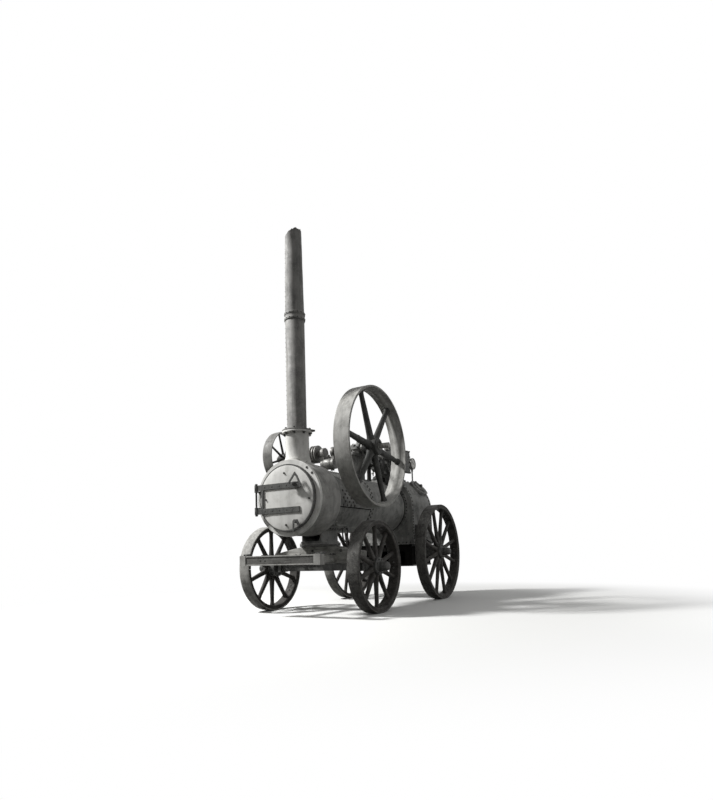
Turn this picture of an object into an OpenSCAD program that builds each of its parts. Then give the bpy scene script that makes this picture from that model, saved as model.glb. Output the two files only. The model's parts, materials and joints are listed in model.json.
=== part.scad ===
// Portable steam engine: a riveted boiler on four spoked wheels, with the
// cylinder over the firebox, an overhead crankshaft and a hinged chimney.
// +X points to the chimney end, +Y to the flywheel side, +Z up, in millimetres.
// The origin is on the ground, below the middle of the overall length.

/* [Wheels] */
// Diameter of the rear wheels
rear_wheel_d = 1420; // [1380:5:1460]
// Diameter of the front wheels
front_wheel_d = 1110; // [1080:5:1140]
// Distance between the middles of the two wheels of an axle
wheel_track = 1580; // [1570:2:1600]
// Width of the rims
rim_w = 150; // [130:2:160]
// Thickness of the iron tyres
tyre_t = 16; // [12:1:20]
// Radial depth of the wooden felloes
felloe_t = 64; // [55:1:72]
// How far each felloe stands back from the edges of its tyre
felloe_inset = 6; // [3:1:10]
// Number of spokes in a rear wheel
rear_spokes = 12; // [10:2:14]
// Number of spokes in a front wheel
front_spokes = 10; // [8:2:12]
// Diameter of a spoke at the nave
spoke_root_d = 58; // [50:1:60]
// Diameter of a spoke at the felloe
spoke_tip_d = 42; // [36:1:46]
// Diameter of the naves
nave_d = 218; // [208:2:228]
// Length of the naves between their end faces
nave_l = 190; // [180:2:200]
// Diameter of the hub caps
hub_cap_d = 116; // [108:1:124]
// Length of the hub caps outside the naves
hub_cap_l = 122; // [112:2:132]
// Thickness of the band round each end of a nave
nave_band_t = 8; // [6:1:12]
// Diameter of the axle arms in the naves
axle_arm_d = 64; // [56:1:70]
// Radial running clearance of shafts, arms and pins in their bores
run_fit = 0.05; // [0.02:0.01:0.08]

/* [Boiler] */
// Height of the boiler's axis
boiler_h = 1395; // [1385:1:1405]
// Outer diameter of the barrel's rear course
barrel_d = 770; // [760:2:780]
// Length of the barrel from the firebox to the smokebox
barrel_l = 1987; // [1970:1:2000]
// Length of the barrel's front course, which laps over the rear one
front_course_l = 857; // [840:1:870]
// Thickness of the shell plates
plate_t = 10; // [8:1:12]
// Outer diameter of the smokebox
smokebox_d = 900; // [890:2:910]
// Length of the smokebox
smokebox_l = 466; // [450:2:480]
// Diameter of the door opening in the smokebox front
door_hole_d = 700; // [680:2:720]
// Diameter of the tube ends
tube_d = 58; // [50:1:62]
// Distance between neighbouring tubes
tube_pitch = 84; // [80:1:90]
// Length of the firebox shell
firebox_l = 755; // [740:1:770]
// Width of the firebox shell
firebox_w = 990; // [984:2:996]
// Height of the firebox's lower edge above the ground
firebox_low_h = 832; // [826:1:838]
// How far the firebox stands behind the rear axle
firebox_overhang = 490; // [480:1:500]
// Thickness of the water legs round the fire
water_leg_t = 85; // [80:1:90]
// Height of the fire chamber's crown
crown_h = 1560; // [1540:2:1580]
// Height of the firehole's middle
firehole_h = 1190; // [1180:1:1200]
// Width of the firehole
firehole_w = 380; // [360:2:400]
// Height of the opening of the firehole
firehole_open = 260; // [240:2:280]
// Depth of the ashpan below the firebox
ashpan_deep = 330; // [310:2:350]
// Thickness of the ashpan's sheet
ashpan_t = 8; // [6:1:10]
// Height of the ashpan's mouth
ashpan_mouth_h = 190; // [170:2:210]
// Width of the manhole
manhole_w = 200; // [190:2:210]
// Length of the manhole
manhole_l = 290; // [280:2:300]
// Angle of the manhole from the top of the firebox, in degrees
manhole_lean = 48; // [46:1:50]

/* [Smokebox door] */
// Diameter of the smokebox door
door_d = 806; // [796:2:816]
// Depth of the dished smokebox door
door_deep = 50; // [44:1:56]
// Height between the two hinge straps
strap_pitch = 290; // [280:2:300]
// Width of a hinge strap
strap_w = 66; // [60:1:72]
// Thickness of a hinge strap
strap_t = 12; // [10:1:14]
// How far the straps reach past the middle of the door
strap_reach = 206; // [196:2:214]
// Diameter of the door's hinge pin
door_pin_d = 24; // [20:1:28]

/* [Chimney] */
// Distance from the smokebox's rear to the chimney's axis
chimney_set = 258; // [245:1:270]
// Outer diameter of the chimney base
chimney_base_d = 290; // [280:2:300]
// Height of the joint between the chimney and its base
chimney_joint_h = 2225; // [2215:1:2240]
// Outer diameter of the lower chimney tube
chimney_d = 240; // [230:2:250]
// Outer diameter at the top of the chimney
chimney_top_d = 206; // [196:2:216]
// Thickness of the chimney's sheet
chimney_sheet_t = 6; // [5:0.5:8]
// Height of the collar that joins the two chimney tubes
collar_h = 3683; // [3640:2:3720]
// Height of the chimney's highest point
chimney_h = 4833; // [4780:1:4880]
// Slope of the broken top edge, in degrees
top_slope = 27; // [22:1:30]

/* [Engine] */
// Height of the crankshaft's axis
crank_h = 2066; // [2060:1:2076]
// Distance from the smokebox's rear to the crankshaft
crank_set = 464; // [455:1:475]
// Diameter of the crankshaft
shaft_d = 90; // [84:1:96]
// Radius of the crank's throw
throw_r = 150; // [145:1:154]
// Angle of the crank throw below the level, in degrees
crank_rest = 90; // [80:1:100]
// Length of the connecting rod between its pins
rod_l = 900; // [890:2:910]
// Distance from the middle to each crank bearing
bearing_y = 446; // [440:1:448]
// Width of a crank bearing
bearing_w = 90; // [84:2:96]
// Width of a crank bracket at its top
bracket_w = 450; // [430:2:470]
// Width of a crank bracket at its waist
bracket_waist = 236; // [220:2:250]
// Radius of the hollow front and rear edges of a crank bracket
bracket_edge_r = 240; // [232:2:260]
// Diameter of the bare end of the crankshaft
shaft_end_d = 68; // [64:1:72]
// Diameter of the grooved pulley between the brackets
groove_pulley_d = 240; // [230:2:250]
// Diameter of the flywheel
flywheel_d = 1553; // [1530:1:1570]
// Width of the flywheel's rim
flywheel_w = 215; // [205:1:225]
// Radial thickness of the flywheel's rim
flywheel_rim_t = 34; // [30:1:38]
// Distance from the middle to the flywheel's inner face
flywheel_y = 552; // [548:1:560]
// Angle of the first flywheel spoke above the level, in degrees
flywheel_phase = 8; // [4:1:12]
// Number of spokes in the flywheel
flywheel_spokes = 6; // [4:1:8]
// Diameter of the belt pulley
pulley_d = 760; // [740:2:780]
// Width of the belt pulley
pulley_w = 150; // [140:2:160]
// Distance from the middle to the belt pulley's inner face
pulley_y = 676; // [670:1:684]
// Number of spokes in the belt pulley
pulley_spokes = 8; // [6:1:10]
// Angle of the first pulley spoke above the level, in degrees
pulley_phase = 27; // [20:1:34]
// Upward slope of the cylinder's axis away from the crank, in degrees
cylinder_tilt = 2.5; // [2:0.1:3]
// How far the cylinder's front face stands ahead of the firebox
cylinder_fwd = 53; // [45:1:60]
// Length of the cylinder casting
cylinder_l = 500; // [490:1:510]
// Outer diameter of the cylinder casting
cylinder_d = 320; // [310:2:330]
// Diameter of the cylinder's end covers
cover_d = 366; // [356:2:372]
// Thickness of the cylinder's end covers
cover_t = 30; // [26:1:34]
// Offset of the eccentric's centre from the shaft
eccentric_e = 42; // [38:1:46]
// Angle by which the eccentric trails the crank, in degrees
eccentric_trail = 120; // [110:1:130]
// Distance from the middle to the eccentric's plane
eccentric_y = 208; // [206:1:210]
// Height of the steam chest
chest_h = 336; // [320:2:344]
// Diameter of the pressure gauge
gauge_d = 190; // [180:2:200]

/* [Fore-carriage] */
// Distance from the smokebox's rear back to the front axle
front_axle_set = 197; // [190:1:204]
// Length of the pedestal along the boiler
pedestal_l = 388; // [376:2:392]
// Width of the pedestal
pedestal_w = 290; // [280:2:300]
// Thickness of the pedestal's walls
pedestal_wall_t = 18; // [14:1:22]
// Radius of the lower corners inside the pedestal
pedestal_corner_r = 45; // [36:1:54]
// Distance from the front axle to the splinter bar's front face
bar_reach = 875; // [860:1:890]
// Length of the splinter bar
bar_l = 1146; // [1120:2:1170]
// Height of the splinter bar's section
bar_h = 113; // [106:1:120]
// Depth of the splinter bar's section
bar_deep = 84; // [76:1:92]
// Height of the splinter bar's middle above the ground
bar_mid_h = 663; // [656:1:670]
// Side of the square front axle
axle_side = 90; // [84:1:96]
// Height of the bolster's top above the ground
bolster_top_h = 820; // [816:1:824]
// Thickness of the bolster from front to back
bolster_deep = 140; // [130:2:150]
// Diameter of the turntable rings
turntable_d = 520; // [500:2:540]
// Thickness of each turntable ring
turntable_t = 20; // [18:1:22]
// Diameter of the king pin
king_pin_d = 56; // [50:1:60]

/* [Hidden] */

$fn = 144;
SHELL_GREY = "#5c5c5b";
DOOR_GREY = "#b4b4b1";
CHIMNEY_GREY = "#8f8f8d";
IRON_DARK = "#3a3a3a";
WHEEL_DARK = "#2f2e2d";
BAR_GREY = "#6b6b69";
eps = 1;
seat = 0.3;

// Stations along the machine, from the rear axle forward
wheelbase = firebox_l + barrel_l - firebox_overhang - front_axle_set;
rear_axle_x = (rear_wheel_d / 2 - wheelbase - bar_reach) / 2;
front_axle_x = rear_axle_x + wheelbase;
firebox_x = rear_axle_x - firebox_overhang;
throat_x = firebox_x + firebox_l;
smokebox_x = throat_x + barrel_l;
front_x = smokebox_x + smokebox_l;
seam_x = smokebox_x - front_course_l;
crank_x = smokebox_x - crank_set;
chimney_x = smokebox_x + chimney_set;
bar_x = front_axle_x + bar_reach - bar_deep;

// Radii of the boiler's parts
barrel_r = barrel_d / 2;
course_r = barrel_r + plate_t;
smokebox_r = smokebox_d / 2;
firebox_r = firebox_w / 2;
smoke_in_r = smokebox_r - plate_t;
front_band_t = 10;
front_band_l = 44;
throat_ring_t = 16;
throat_ring_w = 46;
tube_plate_t = 18;

// Smokebox door and its hinge
door_r = door_d / 2;
door_x = front_x + seat;
door_face_x = door_x + door_deep;
door_wall_t = 12;
door_pin_x = door_face_x + strap_t / 2;
door_pin_y = -sqrt(pow(smokebox_r + front_band_t, 2) - pow(strap_pitch / 2, 2));
knuckle_r = door_pin_d / 2 + 10;
latch_y = 168;
latch_boss_l = 34;

// Firehole door and its hinge
firehole_ring_t = 22;
firedoor_t = 14;
firedoor_margin = 24;
firedoor_x = firebox_x - firehole_ring_t - seat;
firedoor_pin_x = firedoor_x - firedoor_t;
firedoor_pin_y = firehole_w / 2 + 58;
firedoor_pin_r = 8;
firedoor_pin_half = 100;
firebox_band_t = 8;
firebox_band_h = 52;

// Chimney joint
chimney_flange_r = 185;
chimney_flange_t = 20;
flue_r = chimney_d / 2 - chimney_sheet_t;
chimney_pin_out = 32;
chimney_pin_r = 12;
chimney_lug_r = 24;
chimney_pin_x = chimney_x - chimney_flange_r - chimney_pin_out;

// Engine
shaft_r = shaft_d / 2;
crank_pin_r = 42;
web_in_y = 56;
web_t = 44;
rod_eye_r = 48;
rod_half_w = 40;
cheek_y = rod_half_w + 2;
cheek_t = 30;
crank_pin_dx = -throw_r * cos(crank_rest);
crank_pin_dz = -throw_r * sin(crank_rest);
eye_s = crosshead_distance();
rod_angle = atan2(eye_s * sin(cylinder_tilt) - crank_pin_dz, eye_s * cos(cylinder_tilt) + crank_pin_dx);
shaft_stub_l = 128;
shaft_left_y = flywheel_y + flywheel_w + shaft_stub_l;
shaft_right_y = -(pulley_y + pulley_w + 20);
eccentric_r = 105;
eccentric_w = 44;
eccentric_angle = -crank_rest - eccentric_trail;
eccentric_dx = eccentric_e * cos(eccentric_angle);
eccentric_dz = eccentric_e * sin(eccentric_angle);
valve_z = 20;
cyl_r = cylinder_d / 2;
cylinder_set = crank_x - throat_x - cylinder_fwd;
cylinder_end = cylinder_set + cylinder_l;
cylinder_foot_w = 320;
gland_l = 112;
gland_nut_t = 24;
valve_pin_fwd = 350;
valve_pin_s = cylinder_set - valve_pin_fwd;
valve_eye_r = 30;
chest_in_y = 130;
chest_out_y = 270;
chest_back = -cylinder_end + 20;
chest_front = -cylinder_set - 70;
chest_lid_t = 22;
chest_lid_over = 14;
slipper_l = 220;
guide_end = 13;
guide_s0 = rod_l - throw_r - slipper_l / 2 - guide_end;
guide_s1 = cylinder_set - cover_t;
guide_y0 = cheek_y + cheek_t + 1;
guide_y1 = guide_y0 + 42;
guide_z0 = 40;
guide_z1 = 66;

// Saddle and crank brackets
saddle_t = 12;
saddle_r = course_r + saddle_t;
saddle_x0 = seam_x + 6;
saddle_x1 = smokebox_x - 46;
saddle_low_h = boiler_h - 95;
bracket_t = 16;
bracket_flange_w = 66;
bracket_flange_t = 14;
bracket_foot_a = 53;
bracket_foot_t = 14;
bracket_top_h = crank_h - shaft_r - 26;
bracket_knee_h = bracket_top_h - 90;
bracket_waist_h = bracket_top_h - 200;
bracket_foot_in = 30;
bracket_foot_y = (saddle_r - bracket_foot_in) * sin(bracket_foot_a);
bracket_low_h = boiler_h + (saddle_r - bracket_foot_in) * cos(bracket_foot_a);
bearing_r = 74;
bearing_seat_t = 34;

// Pedestal
pedestal_base_t = 22;
pedestal_base_over = 10;
pedestal_flange_t = 16;
pedestal_flange_half_w = 250;
pedestal_flange_back = 60;

// Fore-carriage
front_axle_h = front_wheel_d / 2;
axle_top_h = front_axle_h + axle_side / 2;
pedestal_low_h = bolster_top_h + 2 * turntable_t + seat;
arm_r = axle_arm_d / 2;
hub_out = nave_l / 2 - 30;
hub_in = hub_out - nave_l;
cap_wall = 20;
end_play = 3;
half_track = wheel_track / 2;
axle_shoulder_y = half_track + hub_in - seat;
arm_end_y = half_track + hub_out + hub_cap_l - cap_wall - end_play;

// Wheels: name, x, side, diameter and number of spokes
WHEELS = [
    ["fl", front_axle_x, 1, front_wheel_d, front_spokes],
    ["fr", front_axle_x, -1, front_wheel_d, front_spokes],
    ["rl", rear_axle_x, 1, rear_wheel_d, rear_spokes],
    ["rr", rear_axle_x, -1, rear_wheel_d, rear_spokes]];

// Distance from the crankshaft to the crosshead pin, along the cylinder's axis
function crosshead_distance() =
    let (b = throw_r * (cos(crank_rest) * cos(cylinder_tilt) - sin(crank_rest) * sin(cylinder_tilt)))
    b + sqrt(pow(b, 2) + pow(rod_l, 2) - pow(throw_r, 2));

// A round bar along X, Y or Z
module bar_x_dir(x0, x1, y, z, r) translate([x0, y, z]) rotate([0, 90, 0]) cylinder(h = x1 - x0, r = r);
module bar_y_dir(x, y0, y1, z, r) translate([x, y0, z]) rotate([-90, 0, 0]) cylinder(h = y1 - y0, r = r);
module bar_z_dir(x, y, z0, z1, r) translate([x, y, z0]) cylinder(h = z1 - z0, r = r);

// A box from its lowest to its highest corner
module block(low, high) translate(low) cube(high - low);

// A flat outline in the XZ plane made into a plate from y0, or in the YZ plane from x0
module plate_y(y0, t) translate([0, y0 + t, 0]) rotate([90, 0, 0]) linear_extrude(t) children();
module plate_x(x0, t) translate([x0, 0, 0]) rotate([90, 0, 90]) linear_extrude(t) children();

// A stretch of a round shell about the boiler's axis
module shell_ring(x0, x1, r_in, r_out) {
    difference() {
        bar_x_dir(x0, x1, 0, boiler_h, r_out);
        bar_x_dir(x0 - eps, x1 + eps, 0, boiler_h, r_in);
    }
}

// The frame of the cylinder: origin at the crankshaft, -X along the cylinder's axis
module on_cylinder_axis() translate([crank_x, 0, crank_h]) rotate([0, cylinder_tilt, 0]) children();

module boiler_barrel() {
    color(SHELL_GREY) {
        bar_x_dir(throat_x, smokebox_x, 0, boiler_h, barrel_r);
        shell_ring(seam_x, smokebox_x, barrel_r - eps, course_r);
        throat_ring();
    }
}

// Flanged ring where the barrel meets the firebox
module throat_ring() {
    shell_ring(throat_x, throat_x + throat_ring_t, barrel_r - eps, barrel_r + throat_ring_w);
}

module tube_plate() {
    tube_deep = 12;
    rows = 5;
    color(IRON_DARK) difference() {
        bar_x_dir(smokebox_x, smokebox_x + tube_plate_t, 0, boiler_h, smoke_in_r);
        for (row = [-rows:2], col = [-4:4]) {
            y = (col + (abs(row) % 2) / 2) * tube_pitch;
            z = row * tube_pitch * sin(60);
            if (norm([y, z]) < barrel_r - tube_d)
                bar_x_dir(smokebox_x + tube_plate_t - tube_deep, smokebox_x + tube_plate_t + eps,
                    y, boiler_h + z, tube_d / 2);
        }
    }
}

module smokebox_shell() {
    color(SHELL_GREY) difference() {
        bar_x_dir(smokebox_x, front_x - plate_t, 0, boiler_h, smokebox_r);
        bar_x_dir(smokebox_x - eps, front_x, 0, boiler_h, smoke_in_r);
        bar_z_dir(chimney_x, 0, boiler_h, boiler_h + smokebox_d, flue_r);
    }
}

// Front plate with the door's mouth, and the band that laps over the shell
module smokebox_ring() {
    color(SHELL_GREY) {
        shell_ring(front_x - plate_t, front_x, door_hole_d / 2, smokebox_r + front_band_t);
        shell_ring(front_x - front_band_l, front_x, smokebox_r, smokebox_r + front_band_t);
    }
}

module smokebox_door() {
    color(DOOR_GREY) difference() {
        bar_x_dir(door_x, door_face_x, 0, boiler_h, door_r);
        bar_x_dir(door_x - eps, door_face_x - door_wall_t, 0, boiler_h, door_r - door_wall_t);
    }
}

module door_straps() {
    link_w = 34;
    link_y = -358;
    color(IRON_DARK) {
        for (side = [-1, 1]) translate([0, 0, boiler_h + side * strap_pitch / 2]) difference() {
            union() {
                block([door_face_x, door_pin_y, -strap_w / 2], [door_face_x + strap_t, strap_reach, strap_w / 2]);
                bar_z_dir(door_pin_x, door_pin_y, -strap_w / 2, strap_w / 2, knuckle_r);
            }
            bar_z_dir(door_pin_x, door_pin_y, -strap_w, strap_w, door_pin_d / 2 + run_fit);
        }
        block([door_face_x, link_y, boiler_h - strap_pitch / 2],
            [door_face_x + strap_t, link_y + link_w, boiler_h + strap_pitch / 2]);
    }
}

module door_latch() {
    boss_r = 26;
    lever_t = 12;
    z = boiler_h + strap_pitch / 2;
    x = door_face_x + strap_t;
    color(IRON_DARK) {
        bar_x_dir(x, x + latch_boss_l + lever_t + 14, latch_y, z, boss_r);
        translate([0, latch_y, z]) plate_x(x + latch_boss_l, lever_t) difference() {
            polygon([[-108, -4], [8, 142], [48, 88], [106, -30], [70, -46], [-44, -46]]);
            polygon([[-76, 6], [9, 108], [27, 80], [64, 6]]);
        }
        door_clamp();
    }
}

// Hooked clamp at the door's lower edge, hung on a stud in the door
module door_clamp() {
    stud_r = 13;
    clamp_t = 14;
    stud_y = 152;
    stud_z = boiler_h - 292;
    bar_x_dir(door_face_x, door_face_x + 2 * clamp_t + 12, stud_y, stud_z, stud_r);
    translate([0, stud_y, stud_z]) plate_x(door_face_x + clamp_t, clamp_t) polygon([
        [-40, -120], [-40, 8], [-24, 26], [26, 26], [58, -46], [46, -58], [14, -18], [-22, -18], [-24, -120]]);
}

module hinge_post() {
    lug_t = 16;
    lug_z = strap_pitch / 2 - strap_w / 2 - 2 - lug_t;
    post_over = 12;
    post_half = strap_pitch / 2 + strap_w / 2 + post_over;
    color(IRON_DARK) {
        bar_z_dir(door_pin_x, door_pin_y, boiler_h - post_half, boiler_h + post_half, door_pin_d / 2);
        for (side = [-1, 1]) translate([0, 0, boiler_h + side * (lug_z + lug_t / 2) - lug_t / 2]) {
            block([front_x, door_pin_y - knuckle_r, 0], [door_pin_x, door_pin_y + knuckle_r, lug_t]);
            bar_z_dir(door_pin_x, door_pin_y, 0, lug_t, knuckle_r);
        }
    }
}

module chimney_base() {
    foot_r = 205;
    foot_t = 14;
    skirt_r = 160;
    base_r = chimney_base_d / 2;
    top_z = chimney_joint_h;
    crown_z = boiler_h + smokebox_r;
    color(SHELL_GREY) {
        difference() {
            union() {
                intersection() {
                    shell_ring(chimney_x - foot_r, chimney_x + foot_r, smokebox_r - eps, smokebox_r + foot_t);
                    bar_z_dir(chimney_x, 0, boiler_h, top_z, foot_r);
                    block([chimney_x - foot_r, -foot_r, boiler_h], [front_x - front_band_l - eps, foot_r, top_z]);
                }
                translate([chimney_x, 0, 0]) rotate_extrude() polygon([
                    [0, boiler_h], [skirt_r, boiler_h], [skirt_r, crown_z + 24], [base_r + 6, crown_z + 48],
                    [base_r, crown_z + 80], [base_r, top_z - chimney_flange_t],
                    [chimney_flange_r, top_z - chimney_flange_t], [chimney_flange_r, top_z], [0, top_z]]);
                for (side = [-1, 1]) chimney_hinge_lug(side * 35, 20, top_z - chimney_flange_t, top_z);
            }
            bar_x_dir(smokebox_x - smokebox_l, front_x + smokebox_l, 0, boiler_h, smokebox_r);
            bar_z_dir(chimney_x, 0, boiler_h, top_z + eps, flue_r);
        }
        bar_y_dir(chimney_pin_x, -52, 52, chimney_joint_h, chimney_pin_r);
    }
}

// An ear that reaches from a chimney flange back to the hinge pin
module chimney_hinge_lug(y, w, z0, z1) {
    block([chimney_pin_x, y - w / 2, z0], [chimney_x - chimney_flange_r + 20, y + w / 2, z1]);
    bar_y_dir(chimney_pin_x, y - w / 2, y + w / 2, chimney_joint_h, chimney_lug_r);
}

module chimney_lower() {
    z0 = chimney_joint_h + seat;
    lug_w = 40;
    color(CHIMNEY_GREY) difference() {
        union() {
            bar_z_dir(chimney_x, 0, z0, z0 + chimney_flange_t, chimney_flange_r);
            bar_z_dir(chimney_x, 0, z0, collar_h, chimney_d / 2);
            chimney_hinge_lug(0, lug_w, z0, z0 + chimney_flange_t);
        }
        bar_z_dir(chimney_x, 0, z0 - eps, collar_h + eps, flue_r);
        bar_y_dir(chimney_pin_x, -lug_w, lug_w, chimney_joint_h, chimney_pin_r + run_fit);
    }
}

module chimney_collar() {
    band_h = 34;
    band_t = 10;
    color(CHIMNEY_GREY) translate([chimney_x, 0, collar_h]) rotate_extrude() {
        for (side = [-1, 1]) translate([chimney_d / 2, side * band_h - band_h / 2]) square([band_t, band_h]);
        translate([chimney_d / 2, -band_h]) square([band_t / 2, 2 * band_h]);
    }
}

module chimney_upper() {
    r0 = chimney_d / 2;
    r1 = chimney_top_d / 2;
    t = chimney_sheet_t;
    color(CHIMNEY_GREY) difference() {
        translate([chimney_x, 0, 0]) rotate_extrude() polygon([
            [r0 - t, collar_h], [r0, collar_h], [r1, chimney_h], [r1 - t, chimney_h]]);
        translate([chimney_x, r1, chimney_h]) rotate([top_slope, 0, 0])
            block([-chimney_d, -4 * chimney_d, 0], [chimney_d, chimney_d, chimney_d]);
    }
}

// Outline of the firebox shell across the machine
module firebox_outline(r) {
    translate([0, boiler_h]) circle(r);
    translate([-r, firebox_low_h]) square([2 * r, boiler_h - firebox_low_h]);
}

// Oval outline of the firehole, larger by a margin
module firehole_outline(margin) {
    r = firehole_open / 2 + margin;
    half = (firehole_w - firehole_open) / 2;
    for (side = [-1, 1]) translate([side * half, firehole_h]) circle(r);
    translate([-half, firehole_h - r]) square([2 * half, 2 * r]);
}

module firebox_wrapper() {
    fire_r = firebox_r - water_leg_t;
    crown_r = 120;
    color(SHELL_GREY) difference() {
        union() {
            plate_x(firebox_x + plate_t, firebox_l - plate_t) firebox_outline(firebox_r);
            block([firebox_x + plate_t, -firebox_r - firebox_band_t, firebox_low_h],
                [throat_x + firebox_band_t, firebox_r + firebox_band_t, firebox_low_h + firebox_band_h]);
        }
        plate_x(firebox_x + water_leg_t, firebox_l - 2 * water_leg_t) union() {
            translate([-fire_r, firebox_low_h - eps])
                square([2 * fire_r, crown_h - crown_r - firebox_low_h + eps]);
            translate([-fire_r + crown_r, firebox_low_h])
                square([2 * (fire_r - crown_r), crown_h - firebox_low_h]);
            for (side = [-1, 1]) translate([side * (fire_r - crown_r), crown_h - crown_r]) circle(crown_r);
        }
        plate_x(firebox_x, water_leg_t + eps) firehole_outline(0);
    }
}

module backhead() {
    ring_w = 34;
    ring_t = firehole_ring_t;
    lug_half_w = 14;
    lug_half_h = 40;
    color(SHELL_GREY) difference() {
        union() {
            plate_x(firebox_x, plate_t) firebox_outline(firebox_r);
            plate_x(firebox_x - ring_t, ring_t) firehole_outline(ring_w);
        }
        plate_x(firebox_x - ring_t - eps, ring_t + plate_t + 2 * eps) firehole_outline(0);
    }
    color(IRON_DARK) {
        block([firedoor_pin_x, firedoor_pin_y - lug_half_w, firehole_h - lug_half_h],
            [firebox_x, firedoor_pin_y + lug_half_w, firehole_h + lug_half_h]);
        bar_z_dir(firedoor_pin_x, firedoor_pin_y, firehole_h - firedoor_pin_half,
            firehole_h + firedoor_pin_half, firedoor_pin_r);
    }
}

module firehole_door() {
    strap = 36;
    strap_up = 70;
    knuckle = 16;
    color(IRON_DARK) {
        plate_x(firedoor_x - firedoor_t, firedoor_t) firehole_outline(firedoor_margin);
        difference() {
            for (side = [-1, 1]) translate([0, 0, firehole_h + side * strap_up]) {
                block([firedoor_pin_x - 10, -110, -strap / 2], [firedoor_pin_x, firedoor_pin_y, strap / 2]);
                bar_z_dir(firedoor_pin_x, firedoor_pin_y, -strap / 2, strap / 2, knuckle);
            }
            bar_z_dir(firedoor_pin_x, firedoor_pin_y, firehole_h - 200, firehole_h + 200,
                firedoor_pin_r + run_fit);
        }
    }
}

module ashpan() {
    x0 = firebox_x + 24;
    x1 = throat_x - 24;
    y1 = firebox_r - 40;
    z0 = firebox_low_h - ashpan_deep;
    mouth_up = 40;
    mouth_half_w = y1 - 125;
    color(IRON_DARK) difference() {
        block([x0, -y1, z0], [x1, y1, firebox_low_h]);
        block([x0 + ashpan_t, -y1 + ashpan_t, z0 + ashpan_t], [x1 - ashpan_t, y1 - ashpan_t, firebox_low_h + eps]);
        block([x1 - 2 * ashpan_t, -mouth_half_w, z0 + mouth_up],
            [x1 + eps, mouth_half_w, z0 + mouth_up + ashpan_mouth_h]);
    }
}

module manhole() {
    ring_w = 48;
    ring_up = 34;
    lid_in = 24;
    lid_up = 14;
    bar_half_w = 18;
    bar_up = 26;
    groove = 16;
    x = firebox_x + 210;
    half = (manhole_l - manhole_w) / 2;
    module oval(margin, z0, z1) {
        for (side = [-1, 1]) translate([side * half, 0, z0]) cylinder(h = z1 - z0, r = manhole_w / 2 + margin);
        block([-half, -manhole_w / 2 - margin, z0], [half, manhole_w / 2 + margin, z1]);
    }
    color(SHELL_GREY) difference() {
        translate([x, 0, boiler_h]) rotate([-manhole_lean, 0, 0]) difference() {
            union() {
                oval(ring_w, firebox_r - 60, firebox_r + ring_up);
                oval(-lid_in, firebox_r, firebox_r + ring_up + lid_up);
                block([-bar_half_w, -manhole_w / 2 - 20, firebox_r + ring_up],
                    [bar_half_w, manhole_w / 2 + 20, firebox_r + ring_up + bar_up]);
            }
            difference() {
                oval(0, firebox_r + ring_up - groove, firebox_r + ring_up + eps);
                oval(-lid_in, firebox_r, firebox_r + ring_up + lid_up);
            }
        }
        bar_x_dir(firebox_x - eps, throat_x, 0, boiler_h, firebox_r);
    }
}

module cylinder_block() {
    boss_r = 52;
    nut_r = 66;
    rear_boss_r = 70;
    rear_boss_t = 22;
    lag_t = 8;
    lag_w = 46;
    foot_flange_t = 20;
    waist_r = 60;
    foot_top_h = crank_h - 40;
    foot_mid_h = boiler_h + firebox_r + 76;
    color(IRON_DARK) {
        on_cylinder_axis() {
            bar_x_dir(-cylinder_end, -cylinder_set, 0, 0, cyl_r);
            for (s = [-cylinder_set, -cylinder_end - cover_t])
                bar_x_dir(s, s + cover_t, 0, 0, cover_d / 2);
            for (share = [0.45, 0.8]) {
                s = -cylinder_end + share * cylinder_l - lag_w / 2;
                bar_x_dir(s, s + lag_w, 0, 0, cyl_r + lag_t);
            }
            bar_x_dir(-cylinder_set + cover_t, -cylinder_set + gland_l, 0, 0, boss_r);
            bar_x_dir(-cylinder_set + gland_l - eps, -cylinder_set + gland_l + gland_nut_t, 0, 0, nut_r);
            bar_x_dir(-cylinder_end - cover_t - rear_boss_t, -cylinder_end - cover_t, 0, 0, rear_boss_r);
        }
        difference() {
            plate_x(crank_x - cylinder_end + 40, cylinder_l - 80) difference() {
                translate([-cylinder_foot_w / 2, boiler_h]) square([cylinder_foot_w, foot_top_h - boiler_h]);
                for (side = [-1, 1]) translate([side * cylinder_foot_w / 2, foot_mid_h]) circle(waist_r);
            }
            bar_x_dir(firebox_x, throat_x + 2 * throat_ring_w, 0, boiler_h, firebox_r);
            on_cylinder_axis() chest_room();
        }
        intersection() {
            shell_ring(crank_x - cylinder_end, throat_x - eps, firebox_r, firebox_r + foot_flange_t);
            block([crank_x - cylinder_end, -cylinder_foot_w / 2 - 40, boiler_h],
                [throat_x, cylinder_foot_w / 2 + 40, boiler_h + firebox_w]);
        }
    }
}

// The block that the steam chest fills beside the cylinder
module chest_room() {
    block([chest_back, chest_in_y, -chest_h / 2], [chest_front, chest_out_y, chest_h / 2]);
}

module steam_chest() {
    x0 = chest_back;
    x1 = chest_front;
    half_h = chest_h / 2;
    gland_r = 34;
    rod_r = 14;
    rod_end = valve_pin_s + eccentric_dx + eccentric_e + valve_eye_r + 8;
    color(IRON_DARK) on_cylinder_axis() {
        difference() {
            chest_room();
            bar_x_dir(x0 - eps, x1 + eps, 0, 0, cyl_r + 8);
        }
        block([x0 - chest_lid_over, chest_out_y, -half_h - chest_lid_over],
            [x1 + chest_lid_over, chest_out_y + chest_lid_t, half_h + chest_lid_over]);
        bar_x_dir(x1, x1 + 60, eccentric_y, valve_z, gland_r);
        bar_x_dir(x1 + 60, -rod_end, eccentric_y, valve_z, rod_r);
        bar_x_dir(-rod_end - 30, -rod_end, eccentric_y, valve_z, gland_r - 6);
    }
}

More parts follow.
